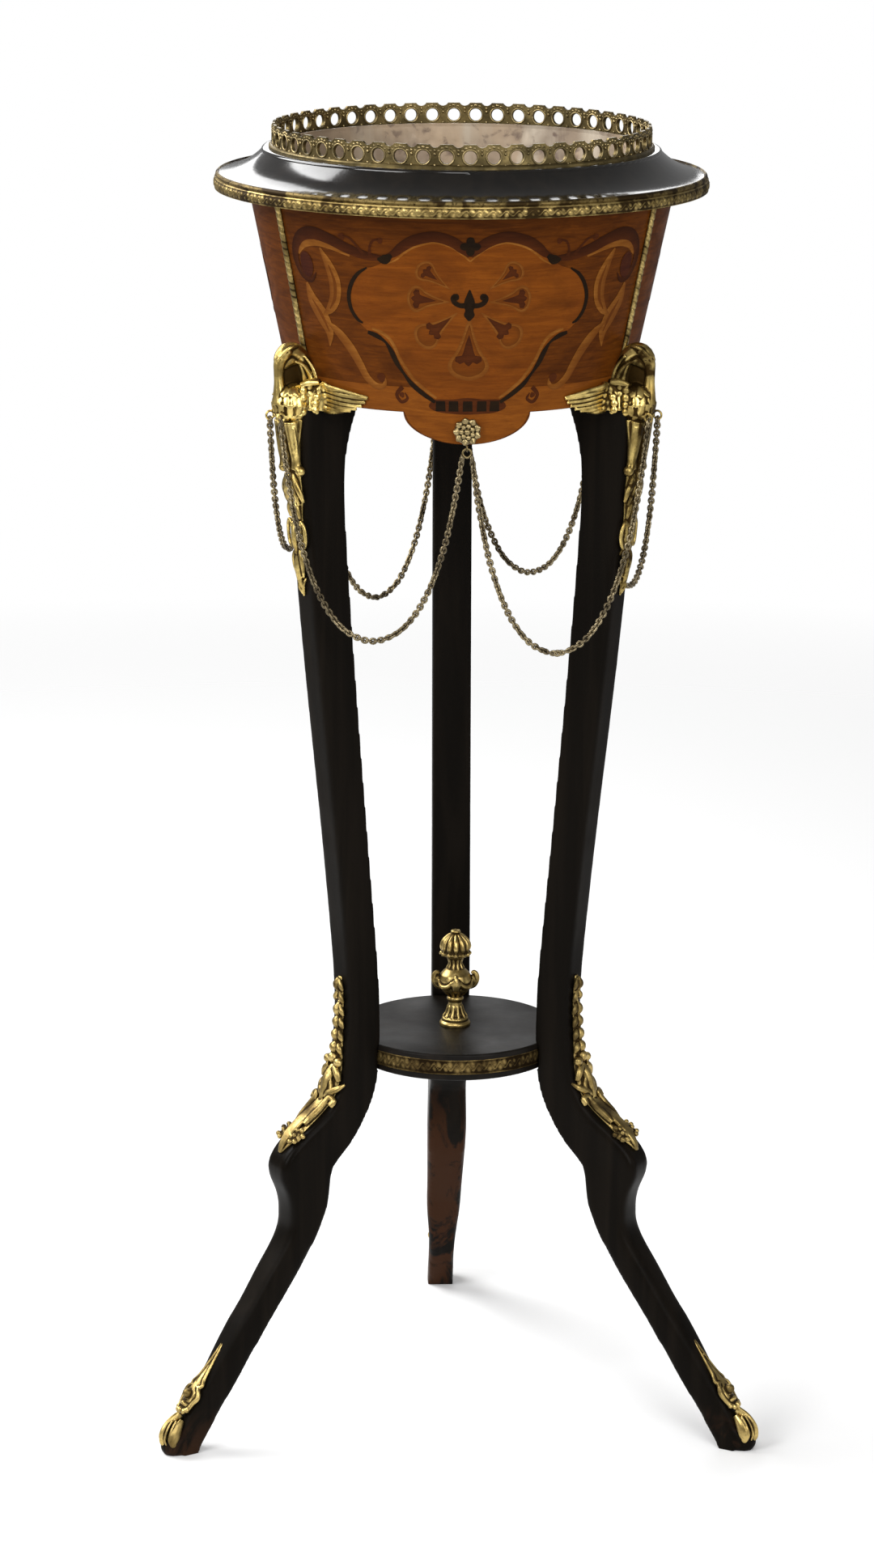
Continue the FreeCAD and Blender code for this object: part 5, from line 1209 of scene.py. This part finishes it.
# Points are (radius, height, thickness).
DOME_RIB = ((11.2, 69.4, 1.6), (11.8, 73, 2.3), (10.2, 78, 2.2), (6.6, 82.2, 1.4), (4, 84, 0.8))
FLUTES = (((7.4, 53, 1.0), (5.4, 57.5, 0.9), (6.4, 61.6, 1.0)),
          ((12.4, 36, 1.6), (9.6, 31.4, 1.7), (6.6, 27.6, 1.0)),
          ((10.6, 7.6, 1.2), (7.6, 12, 1.2), (6.2, 18, 0.9)))
HANDLE = ((13, 34.5, 2.2), (16.6, 37, 2.8), (18.8, 41.6, 2.8), (18.8, 46, 2.4), (16.6, 48.6, 2.0),
          (14.6, 47, 1.6))
SWAG_RADIUS, SWAG_TOP, SWAG_SAG = 15.0, 42.5, 5.4


def rib_on_urn(angle, points):
    """A strand up the urn at an angle."""
    urn.strand([(*turned(angle, radius, height), thick) for radius, height, thick in points],
               (-math.sin(angle), math.cos(angle), 0))


for angle in wheel(12):
    rib_on_urn(angle, DOME_RIB)
    urn.ball(turned(angle, 12.6, 66.4), (2.0, 2.0, 2.0))
for angle in wheel(10):
    for flute in FLUTES:
        rib_on_urn(angle, flute)
for angle in wheel(4):
    urn.ball(turned(angle, 15, 41), (4.4, 4.4, 5.2))
    rib_on_urn(angle, HANDLE)
    urn.ball(turned(angle, 17.6, 42.4), (2.8, 2.8, 2.4))
    urn.ball(turned(angle, 16.6, 38), (2.2, 2.2, 1.6))
    swag = []
    for share in range(7):
        turn = angle + math.tau / 4 * (0.14 + 0.72 * share / 6)
        sag = SWAG_TOP - SWAG_SAG * (1 - (share / 3 - 1) ** 2)
        swag.append((*turned(turn, SWAG_RADIUS, sag), 1.5 + 0.8 * (1 - abs(share / 3 - 1))))
    urn.strand(swag, up=(0, 0, 1))
urn_mesh = urn.cast("urn", 0.5, full=0.34)
urn_mesh.materials.append(look["old_gilt"])
set_down("cast_urn", urn_mesh, "urn_finial", Matrix.Translation(URN))
print("the urn has", len(urn_mesh.polygons), "faces")

# %% [markdown]
# ### Rosettes
# On each hanging lobe a rosette holds the ring of two chains. It has a raised
# middle and two rounds of petals, and its eye hangs below it.

# %% Rosettes
ROSETTE_HEIGHT = 911.0
rosette = Wax()
reach = wall_radius(ROSETTE_HEIGHT)
rosette.ball((reach + 0.5, 0, ROSETTE_HEIGHT), (3.4, 11.4, 11.4))
# How many petals, how far out, how far up, and their halves; then the tips of the outer ones.
PETALS = ((9, 8.6, 2.6, (2.2, 3.3, 3.3)), (7, 4.9, 4.6, (2.0, 2.2, 2.2)))
PETAL_TIP = (10.2, 3.4, (1.7, 1.9, 1.9))


def petal(angle, out, lift, halves):
    """One egg of the rosette at an angle round its middle."""
    place = (reach + lift, out * math.cos(angle), ROSETTE_HEIGHT + out * math.sin(angle))
    rosette.ball(place, halves)


for count, *form in PETALS:
    for angle in wheel(count, 0.5):
        petal(angle, *form)
        if count == PETALS[0][0]:
            petal(angle, *PETAL_TIP)
rosette.ball((reach + 5.2, 0, ROSETTE_HEIGHT), (2.6, 2.8, 2.8))
rosette.strand([(reach - 14, 0, ROSETTE_HEIGHT, 1.6), (reach, 0, ROSETTE_HEIGHT, 1.6)],
                up=(0, 0, 1))
eye_x, eye_z = reach + 1.6, ROSETTE_HEIGHT - 14.5
rosette.strand([(eye_x + 2.2 * math.cos(a), 0, eye_z + 2.2 * math.sin(a), 0.9) for a in wheel(12)],
               up=ACROSS, closed=True, sides=8, pieces=2)
rosette_mesh = rosette.cast("rosette", 0.4, full=0.4)
rosette_mesh.materials.append(look["old_brass"])
for side, azimuth in SIDES.items():
    set_down("cast_rosette_" + side, rosette_mesh, "rosette_" + side,
             turned_to(azimuth))
print("a rosette has", len(rosette_mesh.polygons), "faces")

# %% [markdown]
# ### Pressed bands
# The bands of the rim and the undertier were rolled from brass strip with a
# running leaf on it, and so were the beads over the joints of the panels. A
# height for every place along and across the strip gives the same relief, and
# the lowest places are marked so that they are dark.

# %% Relief of a strip
RELIEF_HIGH = 0.9
SMOOTH_MARK, LOW_MARK, MARK_FALL = 0.7, 0.9, 1.1


def running_leaf(along, across, period=11.0):
    """Height, 0 to 1, of a wavy stem with a leaf in every bend."""
    turn = math.tau * along / period
    stem = math.exp(-((across - 0.42 * math.sin(turn)) / 0.17) ** 2)
    leaf = 0.0
    for bend in (0.25, 0.75):
        gap = (along / period - bend + 0.5) % 1.0 - 0.5
        side = -0.3 if bend == 0.25 else 0.3
        drop = ((gap * period + across * 1.6) / 1.9) ** 2 + ((across - side) / 0.36) ** 2
        leaf = max(leaf, math.exp(-drop))
    edge = 1.0 if abs(across) > 0.84 else 0.0
    return max(0.75 * stem, leaf, edge * 0.8)


# %% A strip along a line
def strip_of(name, node, line, section, half, relief, material, closed):
    """A strip along a line of (place, out, up); a section row is (across, lift, place drawn)."""
    points = []
    faces = []
    marks = []
    count = len(section)
    run = 0.0
    for number, (place, out, up) in enumerate(line):
        if number:
            run += (place - line[number - 1][0]).length / MM
        for across, lift, drawn in section:
            height = 0.0 if drawn is None else relief(run, drawn)
            rise = lift + height * RELIEF_HIGH
            points.append(place + up * (across * half * MM) + out * (rise * MM))
            marks.append(SMOOTH_MARK if drawn is None else max(0.0, LOW_MARK - MARK_FALL * height))
    steps = len(line) if closed else len(line) - 1
    for number in range(steps):
        after = (number + 1) % len(line)
        for step in range(count):
            beside = (step + 1) % count
            faces.append((number * count + step, number * count + beside,
                          after * count + beside, after * count + step))
    if not closed:
        faces.append(tuple(range(count)))
        faces.append(tuple((len(line) - 1) * count + step for step in reversed(range(count))))
    piece = new_piece(name, points, faces, material, node)
    marked(piece.data, "hollow", marks)
    build = bmesh.new()
    build.from_mesh(piece.data)
    bmesh.ops.recalc_face_normals(build, faces=build.faces)
    build.to_mesh(piece.data)
    build.free()


def band_section(thick, bulge, top=1.0, nose=(), rows=11):
    """Across a band: its face in rows, the nose over it, then its flat back."""
    face = []
    for row in range(rows):
        drawn = -1 + 2 * row / (rows - 1)
        face.append(((drawn + 1) / 2 * (top + 1) - 1, thick - bulge * drawn * drawn, drawn))
    return face + list(nose) + [(1.0, 0.2, None), (-1.0, 0.2, None)]


def ring_line(node, count, inner):
    """Places round a band from its own box, facing out."""
    low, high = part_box(node)
    height = (low[2] + high[2]) / 2 / MM
    return [(around(inner * MM, 360 * step / count, height * MM),
             turned_to(360 * step / count).to_3x3() @ Vector((1, 0, 0)), Vector((0, 0, 1)))
            for step in range(count)]


# %% The bands
RIM_NOSE = ((0.34, 1.4, None), (0.46, 2.0, None), (0.6, 2.6, None), (0.78, 2.3, None),
            (0.94, 1.2, None))
# Finish, steps round, thickness, bulge, length of a leaf, top of the leaves, and the nose.
BANDS = {"rim_band": ("old_gilt", 1500, 3.6, 0.9, 11.0, 0.3, RIM_NOSE),
         "undertier_band": ("worn_brass", 700, 1.6, 0.5, 10.0, 1.0, ())}
for node, (material, count, thick, bulge, period, top, nose) in BANDS.items():
    low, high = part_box(node)
    outer = (high[0] - low[0]) / 2 / MM
    inner = outer - thick - RELIEF_HIGH
    leaf_count = round(math.tau * outer / period)
    strip_of("pressed_" + node, node, ring_line(node, count, inner),
             band_section(thick, bulge, top, nose), (high[2] - low[2]) / 2 / MM,
             lambda along, across: running_leaf(along, across, math.tau * inner / leaf_count),
             material, True)
    print(node, "runs round with", leaf_count, "leaves, out to %.1f mm" % outer)

# %% The beads over the joints
def bead_relief(along, across):
    """Slanting leaves over a half-round."""
    gap = (along + 1.5 * across) % 6.0 / 6.0
    return 0.25 + 0.75 * math.sin(math.pi * gap) ** 0.7


BEAD_HALF, BEAD_THICK = 3.3, 2.6
BEAD_FOOT, BEAD_TOP, BEAD_STEPS = WALL_FOOT + 8, 1097.5, 240
bead_face = [(math.sin(a), BEAD_THICK * math.cos(a), math.sin(a))
             for a in (math.radians(-84 + 21 * step) for step in range(9))]
bead_section = bead_face + [(0.9, -0.6, None), (-0.9, -0.6, None)]
for leg, azimuth in LEGS.items():
    turn = turned_to(azimuth).to_3x3()
    out, beside = turn @ Vector((1, 0, -WALL_SLOPE)).normalized(), turn @ Vector(ACROSS)
    line = []
    for step in range(BEAD_STEPS + 1):
        height = BEAD_FOOT + (BEAD_TOP - BEAD_FOOT) * step / BEAD_STEPS
        line.append((around(wall_radius(height) * MM, azimuth, height * MM), out, beside))
    strip_of("pressed_bead_" + leg, "corner_bead_" + leg, line, bead_section, BEAD_HALF,
             bead_relief, "old_gilt", False)
print("beads over the joints:", len(LEGS))

# %% [markdown]
# ### The gallery's mouldings
# The gallery is a brass strip pierced with round holes. On the real one each
# hole has a rolled ring round it and small leaves fill the space between two
# rings, so both are added on the outside and the inside.

# %% Rings and leaves of the gallery
GALLERY_HOLES = 52
GALLERY_RADIUS = 161.5
HOLE_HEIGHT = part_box("gallery")[0][2] / MM + 9.6
RING_RADIUS, CREST_RADIUS, STRIP_THICK = 6.3, 8.2, 2.2
# Heights over the holes' middle and sizes of the balls between two holes, then the crest's.
GAP_BALLS = ((5.6, 1.3), (2.6, 1.6), (-6.6, 1.5))
CREST_BALLS = ((40, 1.2), (65, 1.4), (90, 1.7), (115, 1.4), (140, 1.2))
rings = Wax()


def by_hole(reach, radius, angle):
    """A place beside a hole, from its distance to the hole's middle and an angle."""
    return Vector((reach, radius * math.cos(angle), HOLE_HEIGHT + radius * math.sin(angle)))


for hole, between in zip(wheel(GALLERY_HOLES), wheel(GALLERY_HOLES, 0.5)):
    turn, gap = Matrix.Rotation(hole, 4, "Z"), Matrix.Rotation(between, 4, "Z")
    for reach in (GALLERY_RADIUS, GALLERY_RADIUS - STRIP_THICK):
        circle = [(*(turn @ by_hole(reach, RING_RADIUS, angle)), 0.8) for angle in wheel(12)]
        rings.strand(circle, up=turn @ Vector((1, 0, 0)), closed=True, sides=6, pieces=2)
        for height, size in GAP_BALLS:
            rings.ball(gap @ Vector((reach, 0, HOLE_HEIGHT + height)), (1.1, size, size))
    for lean, size in CREST_BALLS:
        place = by_hole(GALLERY_RADIUS - STRIP_THICK / 2, CREST_RADIUS, math.radians(lean))
        rings.ball(turn @ place, (1.9, size, size))
gallery_mesh = rings.melted("gallery_rings")
gallery_mesh.polygons.foreach_set("use_smooth", [True] * len(gallery_mesh.polygons))
gallery_mesh.materials.append(look["old_brass"])
set_down("gallery_rings", gallery_mesh, place=turned_to(0))
print("the gallery's mouldings have", len(gallery_mesh.polygons), "faces")

# %% [markdown]
# ### Softened legs
# The legs were rounded by hand with a file, more below the knee than above,
# and the toes are worn round. A skin over the plain leg, smoothed more below
# the knee, does what the file did.

# %% Legs
TOE = (288, 0, 8)
TOE_SIZE = (15.5, 12.2, 11)
LEG_GRAIN = 2.0
LEG_SOFTEN, SHIN_SOFTEN = 3, 36
SHIN_TOP, SHIN_FADE, SOLE_FADE = 262, 50, 6
SHIN_OUT, SHIN_WIDER = 4.0, 0.10
SHIN_LOW, SHIN_HIGH = 60, 250


def ramp(value, start, length):
    """Rises from 0 to 1 over a length."""
    return min(max((value - start) / length, 0.0), 1.0)


def soft_leg():
    """One leg with its edges rubbed down, in its own frame."""
    build = bmesh.new()
    build.from_mesh(bpy.data.objects["leg_back"].data)
    bmesh.ops.transform(build, matrix=turned_to(LEGS["back"]).inverted(), verts=build.verts)
    toe = Matrix.Translation(Vector(TOE) * MM) @ Matrix.Diagonal((*(Vector(TOE_SIZE) * MM), 1))
    bmesh.ops.create_icosphere(build, subdivisions=3, radius=1, matrix=toe)
    mesh = bpy.data.meshes.new("leg_forms")
    build.to_mesh(mesh)
    build.free()
    holder = wax_holder("leg_wax", skin("leg", mesh, LEG_GRAIN * MM, LEG_SOFTEN))
    low = holder.vertex_groups.new(name="low")
    for vertex in holder.data.vertices:
        height = vertex.co.z / MM
        share = ramp(-height, -SHIN_TOP, SHIN_FADE) * ramp(height, 0, SOLE_FADE)
        low.add([vertex.index], share, "REPLACE")
    smoothed(holder, SHIN_SOFTEN).vertex_group = "low"
    rubbed = baked(holder, "leg")
    for vertex in rubbed.vertices:
        height = vertex.co.z / MM
        share = ramp(height, SHIN_LOW, SHIN_FADE) * ramp(-height, -SHIN_HIGH, SHIN_FADE)
        vertex.co.x += SHIN_OUT * share * MM
        vertex.co.y *= 1 + SHIN_WIDER * share
        vertex.co.z = max(vertex.co.z, 0)
    return rubbed


leg_mesh = soft_leg()
for leg, azimuth in LEGS.items():
    mesh = leg_mesh.copy()
    mesh.materials.clear()
    mesh.materials.append(look["worn_black" if leg == "back" else "leg_black"])
    set_down("rubbed_leg_" + leg, mesh, "leg_" + leg, turned_to(azimuth))
print("a leg has", len(leg_mesh.polygons), "faces")

# %% [markdown]
# ## Chains
# Six swags of rope chain hang between the birds and the rosettes. A chain has
# a fixed length, so its route is a handful of points that hang as a limp line
# does, deep and narrow, and a smooth curve runs through them. The links are
# small ovals along that curve, each a little more than square to the one
# before, which is how a chain with a slight twist looks.

# %% The route of a chain
CHAIN_TOP = 909.0
RING_REACH = 144.769
RING_BOTTOM = 887.1
RING_APART = 4.3
TO_ROSETTE = 60
ROUTE = ((0, 0), (8, -71), (26, -143), (48, -184), (70, -198), (88, -198), (110, -184), (131, -148),
         (149, -85))
CHAINS = {
    "chain_front_left": ("front_left", 1, 0.92), "chain_front_right": ("front_right", -1, 0.975),
    "chain_side_left": ("front_left", -1, 0.63), "chain_side_right": ("front_right", 1, 0.8),
    "chain_back_left": ("back", 1, 1.0), "chain_back_right": ("back", -1, 0.885)}


def route(leg, side, depth_share):
    """The given points of a chain, from a bird's eye to a rosette's ring."""
    start = Vector((EYE[0], side * EYE[1], CHAIN_TOP)) * MM
    end = Vector((RING_REACH, -side * RING_APART, RING_BOTTOM)) * MM
    end = Matrix.Rotation(math.radians(side * TO_ROSETTE), 3, "Z") @ end
    along = Vector((end.x - start.x, end.y - start.y, 0)).normalized()
    points = [start + along * run * MM + Vector((0, 0, drop * depth_share * MM))
              for run, drop in ROUTE]
    return [turned_to(LEGS[leg]) @ point for point in points + [end]]


print("chains:", ", ".join(CHAINS))


# %% A smooth line, walked in equal steps
def smooth_line(name, points):
    """Points read from a smooth curve through given ones."""
    curve = bpy.data.curves.new(name, "CURVE")
    curve.dimensions = "3D"
    spline = curve.splines.new("NURBS")
    spline.points.add(len(points) - 1)
    for point, place in zip(spline.points, points):
        point.co = (*place, 1)
    spline.order_u = 3
    spline.use_endpoint_u = True
    curve.resolution_u = 12
    holder = bpy.data.objects.new(name, curve)
    mesh = bpy.data.meshes.new_from_object(holder)
    line = [vertex.co.copy() for vertex in mesh.vertices]
    bpy.data.objects.remove(holder)
    bpy.data.meshes.remove(mesh)
    return line


def length_of(line):
    """The length of a line of points."""
    return sum((b - a).length for a, b in zip(line, line[1:]))


def walk(line, step):
    """Places at equal steps along a line, with the direction at each."""
    total = length_of(line)
    count = int(total / step)
    step = total / count
    places = []
    walked = 0.0
    for a, b in zip(line, line[1:]):
        run = (b - a).length
        while len(places) <= count and walked + run >= len(places) * step - 1e-9:
            share = (len(places) * step - walked) / run
            places.append((a.lerp(b, share), (b - a).normalized()))
        walked += run
    return places


# %% Links
LINK_RADIUS = 2.15 * MM
LINK_LONG = 1.32
LINK_WIRE = 1.0 * MM
LINK_STEP = 3.6 * MM
LINK_TURN = 96
END_RING, EYE_UP, RING_UP = 2.9 * MM, 1.4 * MM, 1.2 * MM


def ring_of(points, faces, centre, turn, radius, long=1.0, wire=LINK_WIRE, rounds=12, sides=6):
    """Adds a wire ring to a mesh that is being built."""
    first = len(points)
    for angle in wheel(rounds):
        out = Vector((math.cos(angle) * long, math.sin(angle), 0))
        for bend in wheel(sides):
            spot = out * radius + Vector(turned(angle, 1, 0)) * wire * math.cos(bend)
            spot.z = wire * math.sin(bend)
            points.append(centre + turn @ spot)
    for step in range(rounds):
        for corner in range(sides):
            a = first + step * sides + corner
            b = first + step * sides + (corner + 1) % sides
            c = first + (step + 1) % rounds * sides + (corner + 1) % sides
            d = first + (step + 1) % rounds * sides + corner
            faces.append((a, d, c, b))


def link_turn(direction, number):
    """How a link lies: long way down the chain, a bit over square to the last one."""
    along = Vector((1, 0, 0)).rotation_difference(direction).to_matrix()
    return along @ Matrix.Rotation(math.radians(LINK_TURN * number), 3, "X")


def hang_chain(name, leg, side, depth_share):
    """A chain of slanting links, with a round ring at each end."""
    line = smooth_line(name + "_line", route(leg, side, depth_share))
    points = []
    faces = []
    for number, (place, direction) in enumerate(walk(line, LINK_STEP)):
        ring_of(points, faces, place, link_turn(direction, number), LINK_RADIUS, LINK_LONG)
    toward = turned_to(LEGS[leg]).to_3x3()
    across_eye = toward @ Matrix.Rotation(math.radians(90), 3, "Y")
    across_ring = (toward @ Matrix.Rotation(math.radians(side * TO_ROSETTE), 3, "Z")
                   @ Matrix.Rotation(math.radians(90), 3, "X"))
    for end, up, turn in ((line[0], EYE_UP, across_eye), (line[-1], RING_UP, across_ring)):
        ring_of(points, faces, end + Vector((0, 0, up)), turn, END_RING)
    piece = new_piece(name + "_links", points, faces, "chain_brass", name, name + "_body")
    return length_of(line)


for name, (leg, side, depth_share) in CHAINS.items():
    print(name, "is %.0f mm long" % (hang_chain(name, leg, side, depth_share) / MM))

# %% [markdown]
# ## Light and floor
# A plain pale floor, six broad lamps and a soft world. The strongest lamp is a
# large one behind to the left, like a window, and the others stand in front,
# at the right, above and behind. The camera sees the world as white, but the
# stand is lit by a grey one, so black polish stays black and the lamps are
# what the metals have to show.

# %% The floor
FLOOR_HALF = 4.5
FLOOR_FADE = (1.2, 3.4)
FLOOR_GREY = 0.86
floor_points = [(x * FLOOR_HALF, y * FLOOR_HALF, 0)
                for x, y in ((-1, -1), (1, -1), (1, 1), (-1, 1))]
floor_mesh = bpy.data.meshes.new("floor")
floor_mesh.from_pydata(floor_points, [], [(0, 1, 2, 3)])
floor = bpy.data.objects.new("floor", floor_mesh)
bpy.context.scene.collection.objects.link(floor)
pale = finish("pale_floor", (FLOOR_GREY,) * 3, 0.9)
reach = add(pale, "VectorMath", operation="LENGTH")
feed(reach.inputs[0], own_place(pale))
nodes = pale.node_tree.nodes
blend = nodes.new("ShaderNodeMixShader")
feed(blend.inputs[0], spread(pale, reach.outputs["Value"], *FLOOR_FADE))
feed(blend.inputs[1], nodes["Principled BSDF"].outputs["BSDF"])
feed(blend.inputs[2], add(pale, "BsdfTransparent").outputs["BSDF"])
feed(nodes["Material Output"].inputs["Surface"], blend.outputs["Shader"])
floor_mesh.materials.append(pale)
print("the floor fades from %.1f to %.1f m" % FLOOR_FADE)

# %% The lamps
LAMP_AIM = 0.75
# Azimuth, distance, height, size and power.
LAMPS = {
    "key": (-140, 2.7, 2.1, 1.4, 54), "window": (156, 2.5, 2.7, 2.2, 125),
    "front": (-64, 3.2, 1.9, 2.0, 60), "right": (-20, 3.0, 0.9, 1.6, 8),
    "top": (-90, 2.4, 3.0, 1.2, 22), "rear": (92, 2.8, 2.2, 1.6, 26)}
for name, (azimuth, distance, height, size, power) in LAMPS.items():
    light = bpy.data.lights.new(name, "AREA")
    light.shape, light.size, light.energy = "SQUARE", size, power
    holder = bpy.data.objects.new(name, light)
    bpy.context.scene.collection.objects.link(holder)
    place = around(distance, azimuth, height)
    facing = (place - around(0, 0, LAMP_AIM)).to_track_quat("Z", "Y").to_matrix().to_4x4()
    holder.matrix_world = Matrix.Translation(place) @ facing
print("lamps:", ", ".join(LAMPS))

# %% The world
WORLD_LIGHT = 0.24
WORLD_SEEN = 1.0
world = bpy.data.worlds.new("world")
bpy.context.scene.world = world
world.use_nodes = True
background = world.node_tree.nodes["Background"]
seen = add(world, "LightPath").outputs["Is Camera Ray"]
feed(background.inputs["Strength"], spread(world, seen, 0.0, 1.0, WORLD_LIGHT, WORLD_SEEN))
background.inputs["Color"].default_value = (1, 1, 1, 1)
bpy.context.scene.view_settings.view_transform = "Standard"
print("the world gives", WORLD_LIGHT, "of its white")
